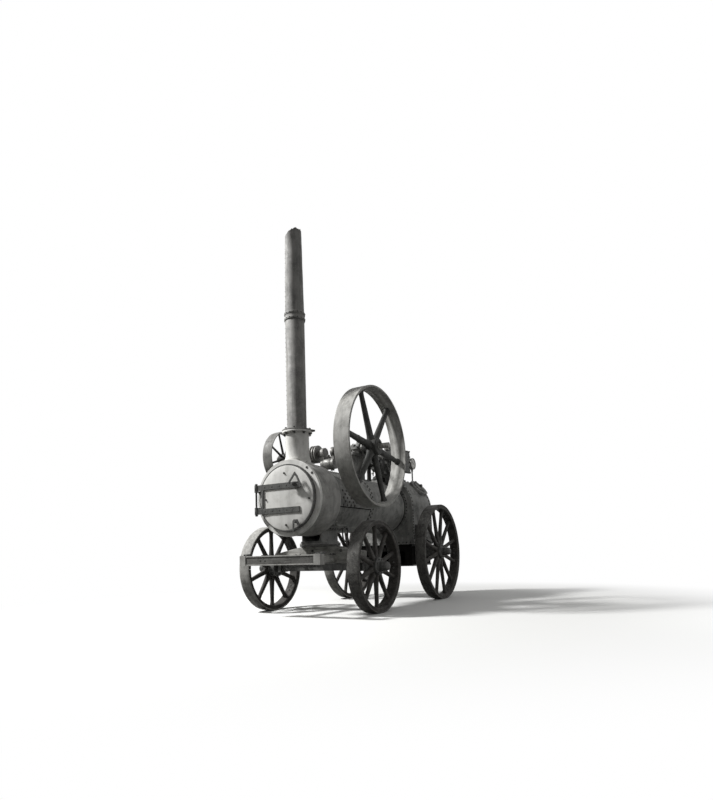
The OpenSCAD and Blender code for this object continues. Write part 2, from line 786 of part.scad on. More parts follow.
module safety_valve() {
    s = -cylinder_end + 120;
    reach = 220;
    column_h = cyl_r + 110;
    flange_t = 20;
    lever_h = 22;
    lever_w = 18;
    balance_r = 17;
    color(IRON_DARK) difference() {
        on_cylinder_axis() {
            bar_z_dir(s, 0, 0, column_h, 46);
            bar_z_dir(s, 0, column_h - 60, column_h - 44, 58);
            bar_z_dir(s, 0, column_h, column_h + flange_t, 60);
            block([s - reach, -lever_w / 2, column_h + flange_t],
                [s + 40, lever_w / 2, column_h + flange_t + lever_h]);
            bar_z_dir(s - reach + balance_r, 0, -cylinder_d, column_h + flange_t, balance_r);
        }
        on_cylinder_axis() bar_x_dir(s - 140, s + 140, 0, 0, cyl_r);
        bar_x_dir(firebox_x - eps, throat_x, 0, boiler_h, firebox_r);
    }
}

// Plunger pump on the barrel's left shoulder, ahead of the firebox
module feed_pump() {
    y = 215;
    z = 1900;
    x0 = throat_x + throat_ring_t + 30;
    body_l = 230;
    body_r = 62;
    flange_r = 73;
    flange_t = 22;
    foot_half = 28;
    plunger_l = 90;
    x1 = x0 + body_l;
    color(IRON_DARK) {
        bar_x_dir(x0, x1, y, z, body_r);
        for (x = [x0, x1]) bar_x_dir(x, x + flange_t, y, z, flange_r);
        bar_x_dir(x1 + flange_t, x1 + flange_t + plunger_l, y, z, 26);
        bar_z_dir(x0 + body_l / 2, y, z, z + 120, 30);
        bar_z_dir(x0 + body_l / 2, y, z + 120, z + 138, 42);
        difference() {
            block([x0 + 30, y - foot_half, boiler_h], [x1 - 30, y + foot_half, z]);
            bar_x_dir(throat_x, smokebox_x, 0, boiler_h, barrel_r);
        }
    }
}

module slide_bars() {
    leg_t = 16;
    leg_w = 110;
    rear_leg_fwd = 200;
    foot_w = 70;
    foot_over = 30;
    foot_t = 12;
    color(IRON_DARK) {
        on_cylinder_axis() for (side = [-1, 1], up = [-1, 1])
            translate([0, side * (guide_y0 + guide_y1) / 2, up * (guide_z0 + guide_z1) / 2])
                block([-guide_s1, (guide_y0 - guide_y1) / 2, (guide_z0 - guide_z1) / 2],
                    [-guide_s0, (guide_y1 - guide_y0) / 2, (guide_z1 - guide_z0) / 2]);
        difference() {
            for (side = [-1, 1], s = [guide_s0, cylinder_set - rear_leg_fwd]) {
                y = side * (guide_y1 + leg_t / 2 - eps) - leg_t / 2;
                block([crank_x - s - leg_w, y, boiler_h],
                    [crank_x - s, y + leg_t, crank_h + s * sin(cylinder_tilt) + guide_z1]);
                intersection() {
                    shell_ring(crank_x - s - leg_w - foot_over, crank_x - s + foot_over, barrel_r, barrel_r + foot_t);
                    block([crank_x - s - leg_w - foot_over, side * (guide_y1 + foot_w / 2) - foot_w / 2, boiler_h],
                        [crank_x - s + foot_over, side * (guide_y1 + foot_w / 2) + foot_w / 2, crank_h]);
                }
            }
            bar_x_dir(throat_x + throat_ring_t, smokebox_x, 0, boiler_h, barrel_r);
            bar_x_dir(firebox_x, throat_x + throat_ring_t, 0, boiler_h, barrel_r + throat_ring_w);
        }
    }
}

module crosshead() {
    yoke_s = eye_s + throw_r + rod_eye_r + 12;
    yoke_t = 44;
    half_h = 54;
    rod_r = 24;
    color(IRON_DARK) on_cylinder_axis() {
        for (side = [-1, 1]) {
            y = side * (cheek_y + cheek_t / 2) - cheek_t / 2;
            block([-yoke_s - yoke_t, y, -half_h], [-eye_s + 90, y + cheek_t, half_h]);
            ys = side * (cheek_y + guide_y1) / 2;
            block([-eye_s - slipper_l / 2, ys - (guide_y1 - cheek_y) / 2, -guide_z0 + seat],
                [-eye_s + slipper_l / 2, ys + (guide_y1 - cheek_y) / 2, guide_z0 - seat]);
        }
        block([-yoke_s - yoke_t, -cheek_y - eps, -half_h], [-yoke_s, cheek_y + eps, half_h]);
        bar_x_dir(-cylinder_set + gland_l + gland_nut_t, -yoke_s - yoke_t + eps, 0, 0, rod_r);
    }
}

module crank_saddle() {
    color(SHELL_GREY) intersection() {
        shell_ring(saddle_x0, saddle_x1, course_r, saddle_r);
        block([saddle_x0, -smokebox_d, saddle_low_h], [saddle_x1, smokebox_d, boiler_h + smokebox_d]);
    }
}

// Outline of a crank bracket from the side: hollow front and rear edges round a waist
module bracket_outline(inset) {
    difference() {
        translate([crank_x - bracket_w / 2, bracket_low_h]) square([bracket_w, bracket_top_h - bracket_low_h]);
        for (end = [-1, 1])
            translate([crank_x + end * (bracket_waist / 2 + bracket_edge_r), bracket_waist_h])
                circle(bracket_edge_r + inset);
    }
}

// Section of a crank bracket: upright below the bearing, then leaning in to the saddle
module bracket_section(t) {
    polygon([[bearing_y - t / 2, bracket_top_h], [bearing_y - t / 2, bracket_knee_h],
        [bracket_foot_y - t / 2, bracket_low_h], [bracket_foot_y + t / 2, bracket_low_h],
        [bearing_y + t / 2, bracket_knee_h], [bearing_y + t / 2, bracket_top_h]]);
}

// A flanged plate that rises from the saddle and carries one crank bearing
module crank_bracket(side) {
    reach = bearing_y + bearing_w;
    foot_half_w = 42;
    cap_half_l = 112;
    cap_half_t = 16;
    cup_r = 20;
    cup_h = 88;
    body_half_l = 74;
    color(SHELL_GREY) mirror([0, side < 0 ? 1 : 0, 0]) {
        difference() {
            union() {
                intersection() {
                    plate_y(0, reach) bracket_outline(0);
                    plate_x(crank_x - bracket_w / 2, bracket_w) bracket_section(bracket_t);
                }
                intersection() {
                    plate_y(0, reach) difference() {
                        bracket_outline(0);
                        bracket_outline(bracket_flange_t);
                    }
                    plate_x(crank_x - bracket_w / 2, bracket_w) bracket_section(bracket_flange_w);
                }
                intersection() {
                    shell_ring(crank_x - bracket_w / 2, crank_x + bracket_w / 2, saddle_r, saddle_r + bracket_foot_t);
                    translate([0, 0, boiler_h]) rotate([-bracket_foot_a, 0, 0])
                        block([crank_x - bracket_w / 2, -foot_half_w, 0], [crank_x + bracket_w / 2, foot_half_w, smokebox_d]);
                }
            }
            bar_x_dir(seam_x, smokebox_x, 0, boiler_h, saddle_r);
        }
        block([crank_x - bracket_w / 2, bearing_y - bearing_w / 2, bracket_top_h - bearing_seat_t],
            [crank_x + bracket_w / 2, bearing_y + bearing_w / 2, bracket_top_h]);
        difference() {
            union() {
                block([crank_x - body_half_l, bearing_y - bearing_w / 2, bracket_top_h],
                    [crank_x + body_half_l, bearing_y + bearing_w / 2, crank_h]);
                block([crank_x - cap_half_l, bearing_y - bearing_w / 2, crank_h - cap_half_t],
                    [crank_x + cap_half_l, bearing_y + bearing_w / 2, crank_h + cap_half_t]);
                bar_y_dir(crank_x, bearing_y - bearing_w / 2, bearing_y + bearing_w / 2, crank_h, bearing_r);
                bar_z_dir(crank_x, bearing_y, crank_h, crank_h + bearing_r + cup_h, cup_r);
            }
            bar_y_dir(crank_x, bearing_y - bearing_w, bearing_y + bearing_w, crank_h, shaft_r + run_fit);
        }
    }
}

module crankshaft() {
    web_w = 100;
    web_r = 74;
    groove_w = 92;
    groove_y = -eccentric_y;
    rim = groove_pulley_d / 2;
    color(IRON_DARK) translate([crank_x, 0, crank_h]) {
        bar_y_dir(0, web_in_y, flywheel_y + flywheel_w, 0, shaft_r);
        bar_y_dir(0, flywheel_y + flywheel_w, shaft_left_y, 0, shaft_end_d / 2);
        bar_y_dir(0, shaft_right_y, -web_in_y, 0, shaft_r);
        bar_y_dir(crank_pin_dx, -web_in_y, web_in_y, crank_pin_dz, crank_pin_r);
        for (side = [-1, 1]) translate([0, side * (web_in_y + web_t / 2), 0]) {
            for (c = [[0, 0], [crank_pin_dx, crank_pin_dz]])
                bar_y_dir(c[0], -web_t / 2, web_t / 2, c[1], web_r);
            rotate([0, crank_rest, 0]) block([0, -web_t / 2, -web_w / 2], [throw_r, web_t / 2, web_w / 2]);
        }
        translate([0, groove_y, 0]) rotate([90, 0, 0]) rotate_extrude() polygon([
            [shaft_r - eps, -groove_w / 2], [rim, -groove_w / 2], [rim, -groove_w * 0.36],
            [rim - 22, -groove_w * 0.2], [rim, -groove_w * 0.06], [rim, groove_w * 0.06],
            [rim - 22, groove_w * 0.2], [rim, groove_w * 0.36], [rim, groove_w / 2], [shaft_r - eps, groove_w / 2]]);
    }
}

// A spoked wheel for a belt: a rim with a rib round its inner face, tapered spokes and a boss.
// size is its diameter, width and rim thickness; spoke is the spokes' root and tip radius.
module belt_wheel(y0, size, spokes, phase, spoke, boss_r, boss_w) {
    d = size[0];
    w = size[1];
    rim = size[2];
    rib_t = rim / 2;
    rib_w = 3 * spoke[1];
    translate([crank_x, y0 + w / 2, crank_h]) rotate([90, 0, 0]) difference() {
        union() {
            rotate_extrude() polygon([
                [d / 2 - rim, -w / 2], [d / 2, -w / 2], [d / 2, w / 2], [d / 2 - rim, w / 2],
                [d / 2 - rim, rib_w / 2], [d / 2 - rim - rib_t, rib_w / 2 - rib_t],
                [d / 2 - rim - rib_t, rib_t - rib_w / 2], [d / 2 - rim, -rib_w / 2]]);
            rotate_extrude() polygon([
                [shaft_r, -boss_w / 2], [boss_r - 10, -boss_w / 2], [boss_r, 10 - boss_w / 2],
                [boss_r, boss_w / 2 - 10], [boss_r - 10, boss_w / 2], [shaft_r, boss_w / 2]]);
            for (i = [0:spokes - 1]) rotate([0, 0, phase + i * 360 / spokes]) translate([boss_r - 12, 0, 0])
                rotate([0, 90, 0]) cylinder(h = d / 2 - rim - boss_r + 24, r1 = spoke[0], r2 = spoke[1]);
        }
        cylinder(h = 2 * w, r = shaft_r, center = true);
    }
}

module flywheel() {
    color(IRON_DARK) belt_wheel(flywheel_y, [flywheel_d, flywheel_w, flywheel_rim_t], flywheel_spokes,
        flywheel_phase, [44, 31], 114, 196);
}

module belt_pulley() {
    pulley_rim_t = 16;
    color(IRON_DARK) belt_wheel(-pulley_y - pulley_w, [pulley_d, pulley_w, pulley_rim_t], pulley_spokes,
        pulley_phase, [17, 13], 74, 118);
}

module eccentric_sheave() {
    color(IRON_DARK) difference() {
        bar_y_dir(crank_x + eccentric_dx, eccentric_y - eccentric_w / 2, eccentric_y + eccentric_w / 2,
            crank_h + eccentric_dz, eccentric_r);
        bar_y_dir(crank_x, eccentric_y - eccentric_w, eccentric_y + eccentric_w, crank_h, shaft_r);
    }
}

module connecting_rod() {
    big_r = 76;
    big_half_w = web_in_y - 3;
    color(IRON_DARK) translate([crank_x + crank_pin_dx, 0, crank_h + crank_pin_dz]) rotate([0, rod_angle, 0])
        difference() {
            union() {
                bar_y_dir(0, -big_half_w, big_half_w, 0, big_r);
                block([-110, -big_half_w, -58], [0, big_half_w, 58]);
                translate([-rod_l, 0, 0]) rotate([0, 90, 0]) rotate_extrude() polygon([
                    [0, 40], [25, 40], [34, rod_l / 2], [30, rod_l - 100], [0, rod_l - 100]]);
                bar_y_dir(-rod_l, -rod_half_w, rod_half_w, 0, rod_eye_r);
            }
            bar_y_dir(0, -web_in_y, web_in_y, 0, crank_pin_r + run_fit);
        }
}

module eccentric_rod() {
    strap_t = 24;
    strap_half_w = 17;
    rod_r = 15;
    ear_half_l = 34;
    ear_half_h = 20;
    pin = [-valve_pin_s * cos(cylinder_tilt) + valve_z * sin(cylinder_tilt),
        valve_pin_s * sin(cylinder_tilt) + valve_z * cos(cylinder_tilt)];
    reach = norm([pin[0] - eccentric_dx, pin[1] - eccentric_dz]);
    angle = atan2(pin[1] - eccentric_dz, eccentric_dx - pin[0]);
    color(IRON_DARK) translate([crank_x + eccentric_dx, eccentric_y, crank_h + eccentric_dz])
        rotate([0, angle, 0]) difference() {
            union() {
                bar_y_dir(0, -strap_half_w, strap_half_w, 0, eccentric_r + strap_t);
                for (up = [-1, 1]) translate([0, 0, up * (eccentric_r + strap_t)])
                    block([-ear_half_l, -strap_half_w, -ear_half_h], [ear_half_l, strap_half_w, ear_half_h]);
                bar_x_dir(-eccentric_r - 80, -eccentric_r, 0, 0, rod_r + 12);
                bar_x_dir(-reach, -eccentric_r, 0, 0, rod_r);
                bar_y_dir(-reach, -strap_half_w, strap_half_w, 0, valve_eye_r);
            }
            bar_y_dir(0, -eccentric_w, eccentric_w, 0, eccentric_r + run_fit);
        }
}

module pressure_gauge() {
    x = firebox_x + 44;
    y = 200;
    z = 2169;
    case_half_t = 23;
    stem_r = 11;
    nut_r = 20;
    foot_z = boiler_h + sqrt(pow(firebox_r, 2) - pow(y, 2));
    color(IRON_DARK) {
        bar_y_dir(x, y - case_half_t, y + case_half_t, z, gauge_d / 2);
        difference() {
            union() {
                bar_z_dir(x, y, foot_z - 40, z, stem_r);
                bar_z_dir(x, y, foot_z - 40, foot_z + 30, nut_r);
                bar_z_dir(x, y, z - gauge_d / 2 - 34, z - gauge_d / 2 + 10, nut_r - 3);
            }
            bar_x_dir(firebox_x, throat_x, 0, boiler_h, firebox_r);
        }
    }
}

module water_gauge() {
    y = -150;
    z0 = 1560;
    z1 = 1800;
    x = firebox_x - 50;
    arm_r = 17;
    tube_r = 11;
    over = 40;
    color(IRON_DARK) {
        for (z = [z0, z1]) {
            bar_x_dir(x - arm_r, firebox_x, y, z, arm_r);
            bar_x_dir(firebox_x - 14, firebox_x, y, z, 2 * arm_r);
            bar_y_dir(x, y - 3 * arm_r, y, z, tube_r);
        }
        bar_z_dir(x, y, z0 - over, z1 + over, tube_r);
    }
}

// Bracket on the firebox side with the stub axle of a rear wheel
module rear_axle_bracket(side) {
    x = rear_axle_x;
    z = rear_wheel_d / 2;
    pad_t = 26;
    pad_half = 190;
    pad_top = boiler_h - 265;
    boss_r = 66;
    neck_up = 40;
    rib_half = 16;
    rib_down = 60;
    hollow_r = 300;
    hollow_out = 140;
    y0 = firebox_r;
    y1 = axle_shoulder_y;
    color(IRON_DARK) mirror([0, side < 0 ? 1 : 0, 0]) {
        difference() {
            union() {
                plate_y(y0, pad_t) polygon([[x - pad_half, pad_top], [x + pad_half, pad_top],
                    [x + pad_half, firebox_low_h + firebox_band_h], [x + boss_r, z - neck_up],
                    [x - boss_r, z - neck_up], [x - pad_half, firebox_low_h + firebox_band_h]]);
                plate_y(y0, y1 - y0) polygon([[x - rib_half, pad_top - rib_down], [x + rib_half, pad_top - rib_down],
                    [x + rib_half, z], [x - rib_half, z]]);
                bar_y_dir(x, y0, y1, z, boss_r);
            }
            bar_x_dir(x - pad_half, x + pad_half, y1 + hollow_out, pad_top, hollow_r);
            block([x - pad_half - eps, y0 - eps, firebox_low_h - eps],
                [x + pad_half + eps, y0 + firebox_band_t, firebox_low_h + firebox_band_h]);
        }
        bar_y_dir(x, y1, arm_end_y, z, arm_r);
    }
}

module pedestal() {
    half_w = pedestal_w / 2;
    over = pedestal_base_over;
    z0 = pedestal_low_h;
    x0 = front_axle_x - pedestal_l / 2;
    x1 = front_axle_x + pedestal_l / 2;
    back = x0 - pedestal_flange_back;
    color(SHELL_GREY) {
        difference() {
            union() {
                block([x0, -half_w, z0], [x1, half_w, boiler_h]);
                intersection() {
                    shell_ring(back, x1, course_r - eps, course_r + pedestal_flange_t);
                    block([back, -pedestal_flange_half_w, z0], [x1, pedestal_flange_half_w, boiler_h]);
                }
            }
            bar_x_dir(seam_x, front_x, 0, boiler_h, course_r);
            bar_x_dir(smokebox_x, front_x, 0, boiler_h, smokebox_d / 2);
            plate_x(x0 + pedestal_wall_t, pedestal_l) pedestal_pocket();
        }
        block([x0 - over, -half_w - over, z0], [x1 + over, half_w + over, z0 + pedestal_base_t]);
        bar_z_dir(front_axle_x, 0, z0 - turntable_t, z0 + eps, turntable_d / 2);
        bar_z_dir(front_axle_x, 0, axle_top_h + 20, z0, king_pin_d / 2);
    }
}

// Outline of the space inside the pedestal, which is open in front, with round lower corners
module pedestal_pocket() {
    r = pedestal_corner_r;
    half = pedestal_w / 2 - pedestal_wall_t;
    z0 = pedestal_low_h + pedestal_base_t;
    translate([-half, z0 + r]) square([2 * half, boiler_h - z0]);
    translate([r - half, z0]) square([2 * (half - r), 2 * r]);
    for (side = [-1, 1]) translate([side * (half - r), z0 + r]) circle(r);
}

module turntable() {
    color(IRON_DARK) difference() {
        bar_z_dir(front_axle_x, 0, bolster_top_h, bolster_top_h + turntable_t, turntable_d / 2);
        bar_z_dir(front_axle_x, 0, bolster_top_h - eps, bolster_top_h + 2 * turntable_t, king_pin_d / 2 + run_fit);
    }
}

module bolster() {
    top_half = 440;
    end_half = 640;
    end_h = 145;
    color(SHELL_GREY) difference() {
        plate_x(front_axle_x - bolster_deep / 2, bolster_deep) polygon([
            [-end_half, axle_top_h], [end_half, axle_top_h], [end_half, axle_top_h + end_h],
            [top_half, bolster_top_h], [-top_half, bolster_top_h], [-end_half, axle_top_h + end_h]]);
        bar_z_dir(front_axle_x, 0, axle_top_h - eps, bolster_top_h + eps, king_pin_d / 2 + run_fit);
    }
}

module front_axle() {
    y1 = axle_shoulder_y;
    color(IRON_DARK) {
        block([front_axle_x - axle_side / 2, -y1, axle_top_h - axle_side],
            [front_axle_x + axle_side / 2, y1, axle_top_h]);
        bar_y_dir(front_axle_x, -arm_end_y, arm_end_y, front_axle_h, arm_r);
    }
}

// A side bar from the bolster forward to the splinter bar
module hound(side) {
    w = 70;
    h = 84;
    y_back = 250;
    y_front = 330;
    x0 = front_axle_x + bolster_deep / 2;
    color(SHELL_GREY) translate([0, 0, bar_mid_h - h / 2]) linear_extrude(h) polygon([
        [x0, side * (y_back - w / 2)], [bar_x, side * (y_front - w / 2)],
        [bar_x, side * (y_front + w / 2)], [x0, side * (y_back + w / 2)]]);
}

module splinter_bar() {
    half = bar_l / 2;
    cap_l = 70;
    cap_t = 6;
    edge_t = 6;
    edge_h = 14;
    strap_w = 44;
    z0 = bar_mid_h - bar_h / 2;
    eye_r = 36;
    eye_t = 24;
    pin_hole_r = 14;
    eye_x = bar_x - 46;
    color(BAR_GREY) {
        block([bar_x, -half, z0], [bar_x + bar_deep - edge_t, half, z0 + bar_h]);
        for (z = [z0, z0 + bar_h - edge_h]) block([bar_x, -half, z], [bar_x + bar_deep, half, z + edge_h]);
        for (y = [-half, half - strap_w]) block([bar_x, y, z0], [bar_x + bar_deep, y + strap_w, z0 + bar_h]);
        for (side = [-1, 1]) difference() {
            translate([0, side * (half - cap_l / 2), z0 + bar_h]) {
                block([eye_x, -eye_r, 0], [bar_x + bar_deep, eye_r, cap_t]);
                bar_z_dir(eye_x, 0, 0, eye_t, eye_r);
            }
            bar_z_dir(eye_x, side * (half - cap_l / 2), z0, z0 + 2 * bar_h, pin_hole_r);
        }
    }
}

module tyre(w) {
    r = w[3] / 2;
    color(WHEEL_DARK) translate([w[1], w[2] * half_track, r]) rotate([90, 0, 0])
        rotate_extrude() translate([r - tyre_t, -rim_w / 2]) square([tyre_t, rim_w]);
}

// A wooden wheel on an iron nave, its outer side towards +Z before it is placed
module wheel(w) {
    r = w[3] / 2;
    felloe_r = r - tyre_t;
    felloe_w = rim_w - 2 * felloe_inset;
    nave_r = nave_d / 2;
    band = nave_band_t;
    band_w = 34;
    cap_r = hub_cap_d / 2;
    color(WHEEL_DARK) translate([w[1], w[2] * half_track, r]) rotate([-90 * w[2], 0, 0]) difference() {
        union() {
            rotate_extrude() translate([felloe_r - felloe_t, -felloe_w / 2]) square([felloe_t, felloe_w]);
            for (i = [0:w[4] - 1]) rotate([0, 0, (i + 0.5) * 360 / w[4]]) translate([nave_r - 12, 0, 0])
                rotate([0, 90, 0]) cylinder(h = felloe_r - felloe_t - nave_r + 24,
                    r1 = spoke_root_d / 2, r2 = spoke_tip_d / 2);
            rotate_extrude() polygon([[0, hub_in], [nave_r - band, hub_in], [nave_r, hub_in + band],
                [nave_r, hub_in + band_w], [nave_r - band, hub_in + band_w + band / 2],
                [nave_r - band, hub_out - band_w - band / 2], [nave_r, hub_out - band_w], [nave_r, hub_out - band],
                [nave_r - band, hub_out], [cap_r + band, hub_out], [cap_r, hub_out + band],
                [cap_r, hub_out + hub_cap_l - 2 * band], [cap_r - 2 * band, hub_out + hub_cap_l],
                [0, hub_out + hub_cap_l]]);
        }
        translate([0, 0, hub_in - eps]) cylinder(h = nave_l + hub_cap_l - cap_wall + eps, r = arm_r + run_fit);
    }
}

boiler_barrel();
tube_plate();
smokebox_shell();
smokebox_ring();
smokebox_door();
door_straps();
door_latch();
hinge_post();
chimney_base();
chimney_lower();
chimney_collar();
chimney_upper();
firebox_wrapper();
backhead();
firehole_door();
ashpan();
manhole();
cylinder_block();
steam_chest();
safety_valve();
feed_pump();
slide_bars();
crosshead();
crank_saddle();
crank_bracket(1);  // crank_bracket_l
crank_bracket(-1);  // crank_bracket_r
crankshaft();
flywheel();
belt_pulley();
eccentric_sheave();
connecting_rod();
eccentric_rod();
pressure_gauge();
water_gauge();
rear_axle_bracket(1);  // rear_axle_bracket_l
rear_axle_bracket(-1);  // rear_axle_bracket_r
pedestal();
turntable();
bolster();
front_axle();
hound(1);  // hound_l
hound(-1);  // hound_r
splinter_bar();
for (w = WHEELS) {
    tyre(w);
    wheel(w);
}
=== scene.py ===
"""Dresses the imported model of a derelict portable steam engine: rivets, bolts, timber, worn iron and flaking paint."""

import json
import logging
import math
import random
from collections.abc import Iterable, Sequence
from dataclasses import dataclass, field
from enum import Enum
from functools import partial

import bmesh
import bpy
from mathutils import Matrix, Vector, noise

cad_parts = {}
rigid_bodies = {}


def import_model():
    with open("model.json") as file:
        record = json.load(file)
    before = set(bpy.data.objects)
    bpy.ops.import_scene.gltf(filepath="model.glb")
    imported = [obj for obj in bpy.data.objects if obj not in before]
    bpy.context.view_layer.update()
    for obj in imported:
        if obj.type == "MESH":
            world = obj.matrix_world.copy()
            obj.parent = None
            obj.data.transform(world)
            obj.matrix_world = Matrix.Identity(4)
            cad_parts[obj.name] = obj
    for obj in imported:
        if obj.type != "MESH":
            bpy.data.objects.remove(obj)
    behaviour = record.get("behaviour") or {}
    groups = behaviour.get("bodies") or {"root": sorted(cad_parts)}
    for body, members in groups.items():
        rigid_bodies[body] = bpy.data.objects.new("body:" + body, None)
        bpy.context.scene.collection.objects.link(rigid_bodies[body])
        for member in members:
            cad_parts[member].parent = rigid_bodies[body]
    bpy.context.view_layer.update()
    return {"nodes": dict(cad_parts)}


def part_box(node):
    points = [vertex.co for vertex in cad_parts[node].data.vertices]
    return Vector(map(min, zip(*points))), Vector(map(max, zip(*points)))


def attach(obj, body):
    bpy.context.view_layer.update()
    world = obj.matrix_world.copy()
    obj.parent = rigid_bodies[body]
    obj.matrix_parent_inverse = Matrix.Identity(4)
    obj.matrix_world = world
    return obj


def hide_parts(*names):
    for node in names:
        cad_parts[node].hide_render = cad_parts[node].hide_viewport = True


log = logging.getLogger("engine")
MM = 0.001
TAU = 2 * math.pi
QUARTER = math.pi / 2
AHEAD, BACK = (1, 0, 0), (-1, 0, 0)
UP, DOWN = (0, 0, 1), (0, 0, -1)
WHITE = (1.0, 1.0, 1.0, 1.0)
CYLINDER_TILT = math.radians(2.5)
# Edges sharper than the first are drawn as creases, and those sharper than the second are eased.
CREASE, EASED = math.radians(38), math.radians(40)
# The span in which most of a noise pattern lies.
NOISE_SPAN = {"From Min": 0.3, "From Max": 0.7}
BLEND = {"data_type": "RGBA"}
DARKEN = {"data_type": "RGBA", "blend_type": "MULTIPLY"}
SOFT_STEP = {"interpolation_type": "SMOOTHSTEP"}
Point = tuple[float, float, float]
Profile = Sequence[tuple[float, float]]


class Side(Enum):
    """The two sides of the engine, as the sign of Y."""

    LEFT = 1
    RIGHT = -1

    @property
    def out(self) -> Point:
        """The direction that points away from the engine on this side."""
        return (0, self.value, 0)


class Slot(Enum):
    """The record's material slots."""

    BOILER = "boiler_plate"
    DOOR = "door_plate"
    CHIMNEY = "chimney_sheet"
    CAST = "cast_iron"
    WHEEL = "wheel_wood"
    TYRE = "tyre_iron"
    FRAME = "frame_wood"


def linear(hex_colour: str) -> tuple[float, float, float, float]:
    """Turns a written sRGB colour into a linear one.

    Args:
        hex_colour: the colour as #rrggbb.

    Returns:
        Red, green, blue and alpha as Blender's sockets take them.
    """
    parts = [int(hex_colour[i : i + 2], 16) / 255 for i in (1, 3, 5)]
    flat = [c / 12.92 if c <= 0.04045 else ((c + 0.055) / 1.055) ** 2.4 for c in parts]
    return (flat[0], flat[1], flat[2], 1.0)


def add_node(tree: bpy.types.NodeTree, kind: str, inputs: dict | None = None, **settings: object) -> bpy.types.Node:
    """Adds a node with its settings, and links or sets its inputs.

    Args:
        tree: the node tree it goes into.
        kind: Blender's name for the node type.
        inputs: what goes into each socket, by its name or number: another node's output or a plain value.
        settings: the node's own properties.

    Returns:
        The new node.
    """
    node = tree.nodes.new(kind)
    for key, value in settings.items():
        setattr(node, key, value)
    for socket, source in (inputs or {}).items():
        if isinstance(source, bpy.types.NodeSocket):
            tree.links.new(source, node.inputs[socket])
        else:
            node.inputs[socket].default_value = source
    return node


def shift(x: float, y: float, z: float) -> Matrix:
    """Gives a move."""
    return Matrix.Translation((x, y, z))


def turn(angle: float, axis: str) -> Matrix:
    """Gives a turn about an axis, in radians."""
    return Matrix.Rotation(angle, 4, axis)


def frame_of(x: Vector, y: Vector, z: Vector, origin: Vector) -> Matrix:
    """Makes a place from its three directions and its origin.

    Args:
        x: the direction of its X.
        y: the direction of its Y.
        z: the direction of its Z.
        origin: its origin in the engine's frame.

    Returns:
        The matrix of the place.
    """
    place = Matrix((x, y, z)).transposed().to_4x4()
    place.translation = origin
    return place


def facing(origin: Point | Vector, normal: Point | Vector) -> Matrix:
    """Makes a place whose Z runs along a direction.

    Args:
        origin: the place's origin in millimetres.
        normal: the direction of its Z.

    Returns:
        The matrix of the place.
    """
    z = Vector(normal).normalized()
    across = Vector(UP) if abs(z.z) < 0.9 else Vector(AHEAD)
    x = across.cross(z).normalized()
    return frame_of(x, z.cross(x), z, Vector(origin))


def ring_of(count: int, radius: float, start: float = 0.0) -> list[Point]:
    """Spreads points evenly round a circle.

    Args:
        count: how many.
        radius: the circle's radius.
        start: the first one's angle in radians.

    Returns:
        The angle and the two coordinates of each.
    """
    angles = [start + TAU * i / count for i in range(count)]
    return [(a, radius * math.cos(a), radius * math.sin(a)) for a in angles]


def spread(first: float, last: float, count: int) -> list[float]:
    """Gives evenly spaced values from the first to the last."""
    return [first + i * (last - first) / (count - 1) for i in range(count)]


